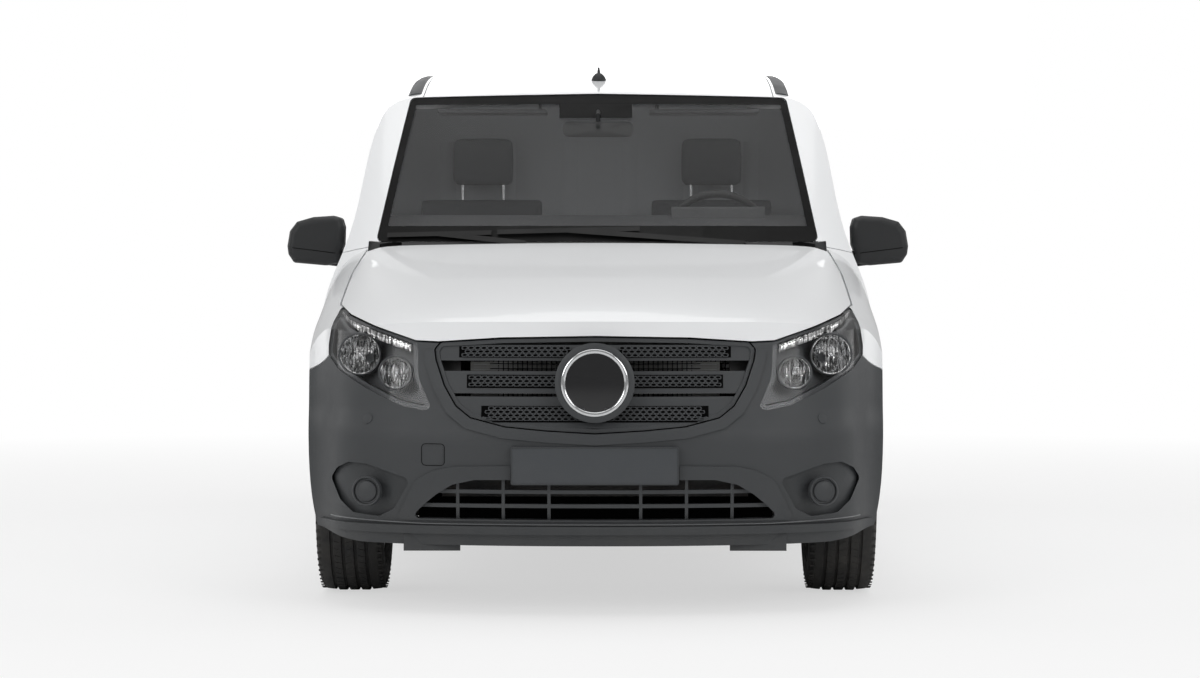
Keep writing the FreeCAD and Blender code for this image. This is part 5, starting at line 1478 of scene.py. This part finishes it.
def rollInto(bm, x0, x1, line, crown, inset):
    # closed pad between two widths, its side-view line crowned towards the middle
    xs = span(x0 + inset, x1 - inset, 6)
    inner = insetLoop(finely(line, 0.05), inset)
    rings = []
    for x in xs:
        t = abs(2 * (x - (x0 + x1) / 2) / (x1 - x0 - 2 * inset))
        rings.append([bm.verts.new((x, y, z)) for y, z in insetLoop(inner, -crown * (1 - t ** 2) + 0.004)])
    for a, b in zip(rings, rings[1:]):
        for k in range(len(a)):
            bm.faces.new((a[k - 1], a[k], b[k], b[k - 1]))
    caps = [bm.faces.new(list(reversed(rings[0]))), bm.faces.new(rings[-1])]
    bmesh.ops.triangulate(bm, faces=caps)


def cushionLines(high):
    # seat pad and back pad as (y, z), inside the solid's side view
    seat = [(-0.634, 0.806), (-0.648, 0.866), (-0.618, 0.918), (-0.262, 0.900), (-0.170, 0.860),
            (-0.150, 0.806)]
    back = [(-0.240, 0.895), (-0.152, high - 0.022), (-0.118, high - 0.004), (-0.064, high - 0.004),
            (-0.044, high - 0.034),
            (-0.108, 0.836), (-0.165, 0.850)]
    return seat, back


def makeSeat(name):
    body, node, places, rests = seatDress[name]
    whole = bmesh.new()
    inset = seatDress["margin"]
    meshes = []
    for x0, x1, high in places:
        seat, back = cushionLines(high)
        for line, crown in ((seat, 0.004), (back, 0.003)):
            part = bmesh.new()
            rollInto(part, x0, x1, line, crown, inset)
            meshes.append(puffed("pad", part, seatDress["padCap"]))
    for centre in rests:
        part = bmesh.new()
        boxInto(part, (centre - 0.118, -0.088, 1.424), (centre + 0.118, -0.027, 1.608), 0.026, 3)
        meshes.append(puffed("rest", part, seatDress["restCap"]))
    for mesh in meshes:
        whole.from_mesh(mesh)
        bpy.data.meshes.remove(mesh)
    piece = addPiece(name + "Cushions", whole, "seatCloth", body, 60, merge=0)
    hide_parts(node)
    posts = bmesh.new()
    for centre in rests:
        for side in (-0.08, 0.08):
            tubeInto(posts, [(centre + side, -0.065, 1.30), (centre + side, -0.062, 1.45)], 0.0065, 12)
    addPiece(name + "RestPosts", posts, "chrome", body, 50)
    seams = bmesh.new()
    for x0, x1, _ in places:
        if x1 - x0 < 0.4:       # the narrow middle seat has no seams
            continue
        for x in (x0 + 0.085, x1 - 0.085):
            tubeInto(seams, [(x, -0.600, 0.924), (x, -0.45, 0.920), (x, -0.275, 0.911)], 0.0022, 6)
    addPiece(name + "Seams", seams, "darkPlastic", body)


makeSeat("driver")
makeSeat("bench")
print("stage: seats")

# dashboard, wheel, pedals and door cards
cabDress = {
    "wheel": ((0.440, -0.700, 1.214), 30.0),    # centre, rake in degrees
    "vents": [(-0.640, 1.180), (-0.110, 1.190), (0.110, 1.190), (0.690, 1.180)],
    "dials": [(0.375, 1.272), (0.505, 1.272)],
}
dashSkin = surfaceOf("dashboard")


def onDash(x, z, out=0.0):
    place, _ = hit(dashSkin, (x, 0.0, z), (0, -1, 0), Vector((x, -0.80, z)))
    return place + Vector((0, out, 0))


def cabControls():
    centre, rake = cabDress["wheel"]
    tilt = math.radians(rake)
    place = axes(centre, (0, math.cos(tilt), math.sin(tilt)))
    bm = bmesh.new()
    latheInto(bm, [(0.010, 0), (0.010, 0.058), (0.020, 0.060), (0.032, 0.052), (0.038, 0.030), (0.039, 0)],
              place, 48)
    addPiece("wheelPad", bm, "cabPlastic", "steering_wheel", 40)
    bm = bmesh.new()
    for x, z in cabDress["dials"]:
        latheInto(bm,
                  [(-0.004, 0), (-0.004, 0.052), (0.004, 0.052), (0.004, 0.047), (0.001, 0.046), (0.001, 0)],
                  axes(onDash(x, z), (0, 1, 0.2)), 40)
    addPiece("dials", bm, "glossBlack", "body", 40)
    bm = bmesh.new()
    for x, z in cabDress["vents"]:
        outline = roundedOutline(rectangle(x - 0.055, z - 0.028, x + 0.055, z + 0.028), 0.012, 4)
        fine = finely(outline, 0.02)
        bandInto(bm, fine, insetLoop(fine, 0.006), onDash, -0.004, 0.005)
        for k in range(4):
            level = z - 0.018 + k * 0.012
            tubeInto(bm, [onDash(x - 0.050, level, 0.001), onDash(x + 0.050, level, 0.001)], 0.0022, 6)
    addPiece("vents", bm, "darkPlastic", "body", 40)
    bm = bmesh.new()
    outline = roundedOutline(rectangle(-0.100, 1.06, 0.100, 1.15), 0.012, 4)
    domeInto(bm, outline, onDash, -0.002, 0.004, 0.0)
    addPiece("radioFace", bm, "glossBlack", "body", 40)
    bm = bmesh.new()
    for row in range(2):
        for k in range(5):
            x = -0.072 + k * 0.036
            z = 1.03 - row * 0.034
            latheInto(bm, [(-0.002, 0), (-0.002, 0.011), (0.007, 0.010), (0.008, 0.008), (0.008, 0)],
                      axes(onDash(x, z), (0, 1, 0)), 20)
    addPiece("dashKnobs", bm, "darkPlastic", "body", 40)
    bm = bmesh.new()
    for x in (0.330, 0.430, 0.520):
        tubeInto(bm, [(x, -0.985, 0.80), (x, -0.96, 0.70), (x, -0.945, 0.640)], 0.007, 10)
        boxInto(bm, (x - 0.030, -0.955, 0.612), (x + 0.030, -0.938, 0.668), 0.004, 2)
    addPiece("pedals", bm, "darkPlastic", "body", 40)
    bm = bmesh.new()
    tubeInto(bm, [(0.10, -0.80, 0.86), (0.10, -0.775, 0.955)], 0.007, 12)
    latheInto(bm, [(0, 0), (0.0, 0.013), (0.012, 0.021), (0.034, 0.023), (0.048, 0.015), (0.052, 0)],
              axes((0.10, -0.778, 0.945), (0, 0.2, 1)), 28)
    latheInto(bm, [(-0.004, 0), (-0.004, 0.042), (0.012, 0.030), (0.030, 0.014), (0.034, 0)],
              axes(onDash(0.10, 0.865), (0, 1, 0.9)), 28)
    addPiece("gearLever", bm, "darkPlastic", "body", 40)


def doorCard(side, word):
    # pull handle, armrest and pocket on the inner face of a front door
    skin = surfaceOf("front_door_" + word.lower())

    def inner(y, z, out):
        place, _ = hit(skin, (side * 0.30, y, z), (side, 0, 0), Vector((side * 0.80, y, z)))
        return place - Vector((side * out, 0, 0))
    bm = bmesh.new()
    layInto(bm, span(-0.98, -0.26, 14), span(0.66, 1.15, 8), inner, -0.001, 0.003)
    addPiece("doorCard" + word, bm, "cabPlastic", "front_door_" + word.lower(), 50)
    bm = bmesh.new()
    line = [(-0.92, 0.965), (-0.78, 0.985), (-0.45, 0.985), (-0.33, 0.975)]
    tubeInto(bm, [inner(y, z, 0.012) for y, z in finely(line, 0.05, closed=False)], 0.015, 12)
    pocket = roundedOutline([(-0.94, 0.70), (-0.36, 0.70), (-0.34, 0.82), (-0.95, 0.80)], 0.03, 5)
    fine = finely(pocket, 0.05)
    bandInto(bm, fine, insetLoop(fine, 0.010), inner, 0.001, 0.014)
    addPiece("doorPull" + word, bm, "darkPlastic", "front_door_" + word.lower(), 40)


cabControls()
bothSides(doorCard)
print("stage: cab")

# load space: floor joints, lashing rings and bulkhead beads
loadDress = {"front": 0.10, "floor": 0.572, "grooves": (-0.44, -0.22, 0.0, 0.22, 0.44),
             "beads": (-0.60, -0.36, -0.12, 0.12, 0.36, 0.60), "rings": [(0.50, 0.30), (0.50, 1.90)]}


def loadSpace():
    y0, z = loadDress["front"], loadDress["floor"]
    bm = bmesh.new()
    for x in loadDress["grooves"]:
        boxInto(bm, (x - 0.002, y0 + 0.05, z), (x + 0.002, 1.05, z + 0.0008))
    addPiece("floorJoints", bm, "rubberMat", "body")
    bm = bmesh.new()
    floorSkin = surfaceOf("floor_pan")
    for x, y in loadDress["rings"]:
        for side in (-1, 1):
            spot, _ = hit(floorSkin, (side * x, y, 1.2), (0, 0, -1), Vector((side * x, y, z)))
            latheInto(bm, [(-0.002, 0), (-0.002, 0.030), (0.003, 0.029), (0.004, 0.022), (0.004, 0)],
                      Matrix.Translation(spot), 28)
            arc = [spot + Vector((0.018 * math.cos(t), 0, 0.004 + 0.020 * math.sin(t)))
                   for t in (math.pi * k / 10 for k in range(11))]
            tubeInto(bm, arc, 0.0032, 10)
    addPiece("lashingRings", bm, "galvanised", "body", 40)
    bulk = surfaceOf("load_bulkhead")
    bm = bmesh.new()
    for x in loadDress["beads"]:
        for near, turn in ((1.2, -1), (-0.4, 1)):
            xs = [x - 0.03, x - 0.018, x, x + 0.018, x + 0.03]
            rise = dict(zip(xs, (0.0004, 0.004, 0.006, 0.004, 0.0004)))

            def face(u, v, out):
                place, _ = hit(bulk, (u, near, v), (0, turn, 0), Vector((u, 0.085 if turn < 0 else 0.06, v)))
                return place - Vector((0, turn * out, 0))
            patchInto(bm, xs, span(0.80, 1.60, 16),
                      lambda u, v: face(u, v, -0.002), lambda u, v: face(u, v, rise[u]))
    addPiece("bulkheadBeads", bm, "greyWall", "body", 50)


loadSpace()
print("stage: load space")

# engine bay: cover, battery, airbox, tank, hoses, springs and the lid's lining
bayDress = {
    "cover": ((-0.300, -2.150, 0.880), (0.180, -1.560, 0.925)),
    "battery": ((0.360, -1.780, 0.690), (0.560, -1.530, 0.850)),
    "airbox": ((-0.580, -2.200, 0.680), (-0.370, -1.960, 0.820)),
    "tank": ((0.370, -2.160, 0.700), (0.540, -1.980, 0.840)),
    "hoses": [  # middle line, radius, sides
        ([(-0.36, -2.05, 0.775), (-0.33, -2.02, 0.80), (-0.29, -1.97, 0.86)], 0.030, 16),
        ([(0.20, -2.315, 0.760), (0.22, -2.26, 0.765), (0.22, -2.225, 0.760)], 0.018, 14),
        ([(-0.26, -2.315, 0.450), (-0.26, -2.27, 0.450), (-0.24, -2.225, 0.455)], 0.018, 14),
        ([(0.42, -1.995, 0.790), (0.38, -1.96, 0.80), (0.295, -1.92, 0.80)], 0.010, 12),
    ],
}


def engineCover():
    low, high = bayDress["cover"]
    bm = bmesh.new()
    boxInto(bm, (low[0], low[1], low[2] - 0.002), high, 0.016, 3)
    for k in range(7):
        x = low[0] + 0.06 + k * 0.06
        tubeInto(bm, [(x, low[1] + 0.05, high[2]), (x, high[1] - 0.05, high[2])], 0.004, 8)
    addPiece("engineCover", bm, "darkPlastic", "body", 40)
    bm = bmesh.new()
    latheInto(bm, [(-0.004, 0), (-0.004, 0.034), (0.020, 0.034), (0.024, 0.028), (0.026, 0)],
              Matrix.Translation((0.235, -1.70, 0.884)), 32)
    addPiece("oilCap", bm, "darkPlastic", "body", 40)


def bayBoxes():
    for name, finish, cap in (("battery", "darkPlastic", False), ("airbox", "darkPlastic", False),
                              ("tank", "paleLens", True)):
        low, high = bayDress[name]
        bm = bmesh.new()
        boxInto(bm, low, high, 0.012, 3)
        middle = Vector(((low[0] + high[0]) / 2, (low[1] + high[1]) / 2, high[2]))
        if cap:
            latheInto(bm, [(-0.004, 0), (-0.004, 0.026), (0.022, 0.026), (0.026, 0.020), (0.026, 0)],
                      Matrix.Translation(middle), 32)
        addPiece(name + "Body", bm, finish, "body", 40)
    low, high = bayDress["battery"]
    bm = bmesh.new()
    for y in (low[1] + 0.04, high[1] - 0.04):
        latheInto(bm, [(-0.002, 0), (-0.002, 0.009), (0.014, 0.008), (0.014, 0)],
                  Matrix.Translation((high[0] - 0.035, y, high[2])), 20)
    addPiece("batteryPosts", bm, "galvanised", "body", 40)


def bayHoses():
    bm = bmesh.new()
    for line, radius, sides in bayDress["hoses"]:
        tubeInto(bm, line, radius, sides)
    addPiece("bayHoses", bm, "rubberMat", "body", 50)


def radiatorFins():
    spots = []
    for k in range(53):
        spots.append((Vector((0.0, -2.3605, 0.385 + k * 0.0078)), (0, 0, 1), (1, 0, 0),
                      (0.78, 0.003, 0.0018)))
    repeatPiece("radiatorFins", latticeBar, spots, "galvanised", "body")


def coilSprings(side, word):
    # the coil round each front strut
    strut = nodes["strut_" + word.lower()].data
    points = [v.co for v in strut.vertices]
    top = max(points, key=lambda v: v.z).z
    low = min(points, key=lambda v: v.z).z

    def middleAt(z):
        near = [v for v in points if abs(v.z - z) < 0.06]
        return Vector((sum(v.x for v in near) / len(near), sum(v.y for v in near) / len(near), z))
    a, b = middleAt(top - 0.02), middleAt(low + 0.02)
    up = (a - b).normalized()
    base, turns, length = b + up * ((a - b).length * 0.50), 4.0, (a - b).length * 0.42
    place = axes(base, up)
    bm = bmesh.new()
    line = [place @ Vector((0.056 * math.cos(t), 0.056 * math.sin(t), length * t / (2 * math.pi * turns)))
            for t in span(0, 2 * math.pi * turns, int(turns * 20))]
    tubeInto(bm, line, 0.0062, 10)
    addPiece("coilSpring" + word, bm, "underbody", "knuckle_" + word.lower(), 60)


def bonnetLining():
    # pad, its frame and its clips on the underside of the lid
    skin = surfaceOf("bonnet")

    def under(x, y, out):
        place, _ = hit(skin, (x, y, 0.70), (0, 0, 1), Vector((x, y, 1.02)))
        return place + Vector((0, 0, -out))
    outline = roundedOutline([(-0.56, -1.44), (0.56, -1.44), (0.60, -1.60), (0.46, -2.24), (0.30, -2.28),
                              (-0.30, -2.28),
                              (-0.46, -2.24), (-0.60, -1.60)], 0.06, 5)
    fine = finely(outline, 0.06)
    bm = bmesh.new()
    layInto(bm, span(-0.50, 0.50, 24), span(-2.20, -1.50, 18), under, -0.002, 0.006)
    addPiece("bonnetPad", bm, "rubberMat", "bonnet", 50)
    bm = bmesh.new()
    bandInto(bm, insetLoop(fine, -0.030), insetLoop(fine, -0.006), under, -0.003, 0.006)
    addPiece("bonnetFrame", bm, "whitePaint", "bonnet", 50)
    bm = bmesh.new()
    for x, y in ((-0.30, -1.62), (0.30, -1.62), (-0.30, -1.95), (0.30, -1.95), (0.0, -1.78), (0.0, -2.12)):
        spot = under(x, y, 0.006)
        latheInto(bm, [(-0.002, 0), (-0.002, 0.011), (0.001, 0.011), (0.003, 0.006), (0.003, 0)],
                  axes(spot, (0, 0, -1)), 16)
    addPiece("padClips", bm, "darkPlastic", "bonnet", 40)


engineCover()
bayBoxes()
bayHoses()
radiatorFins()
bothSides(coilSprings)
bonnetLining()
print("stage: engine bay")
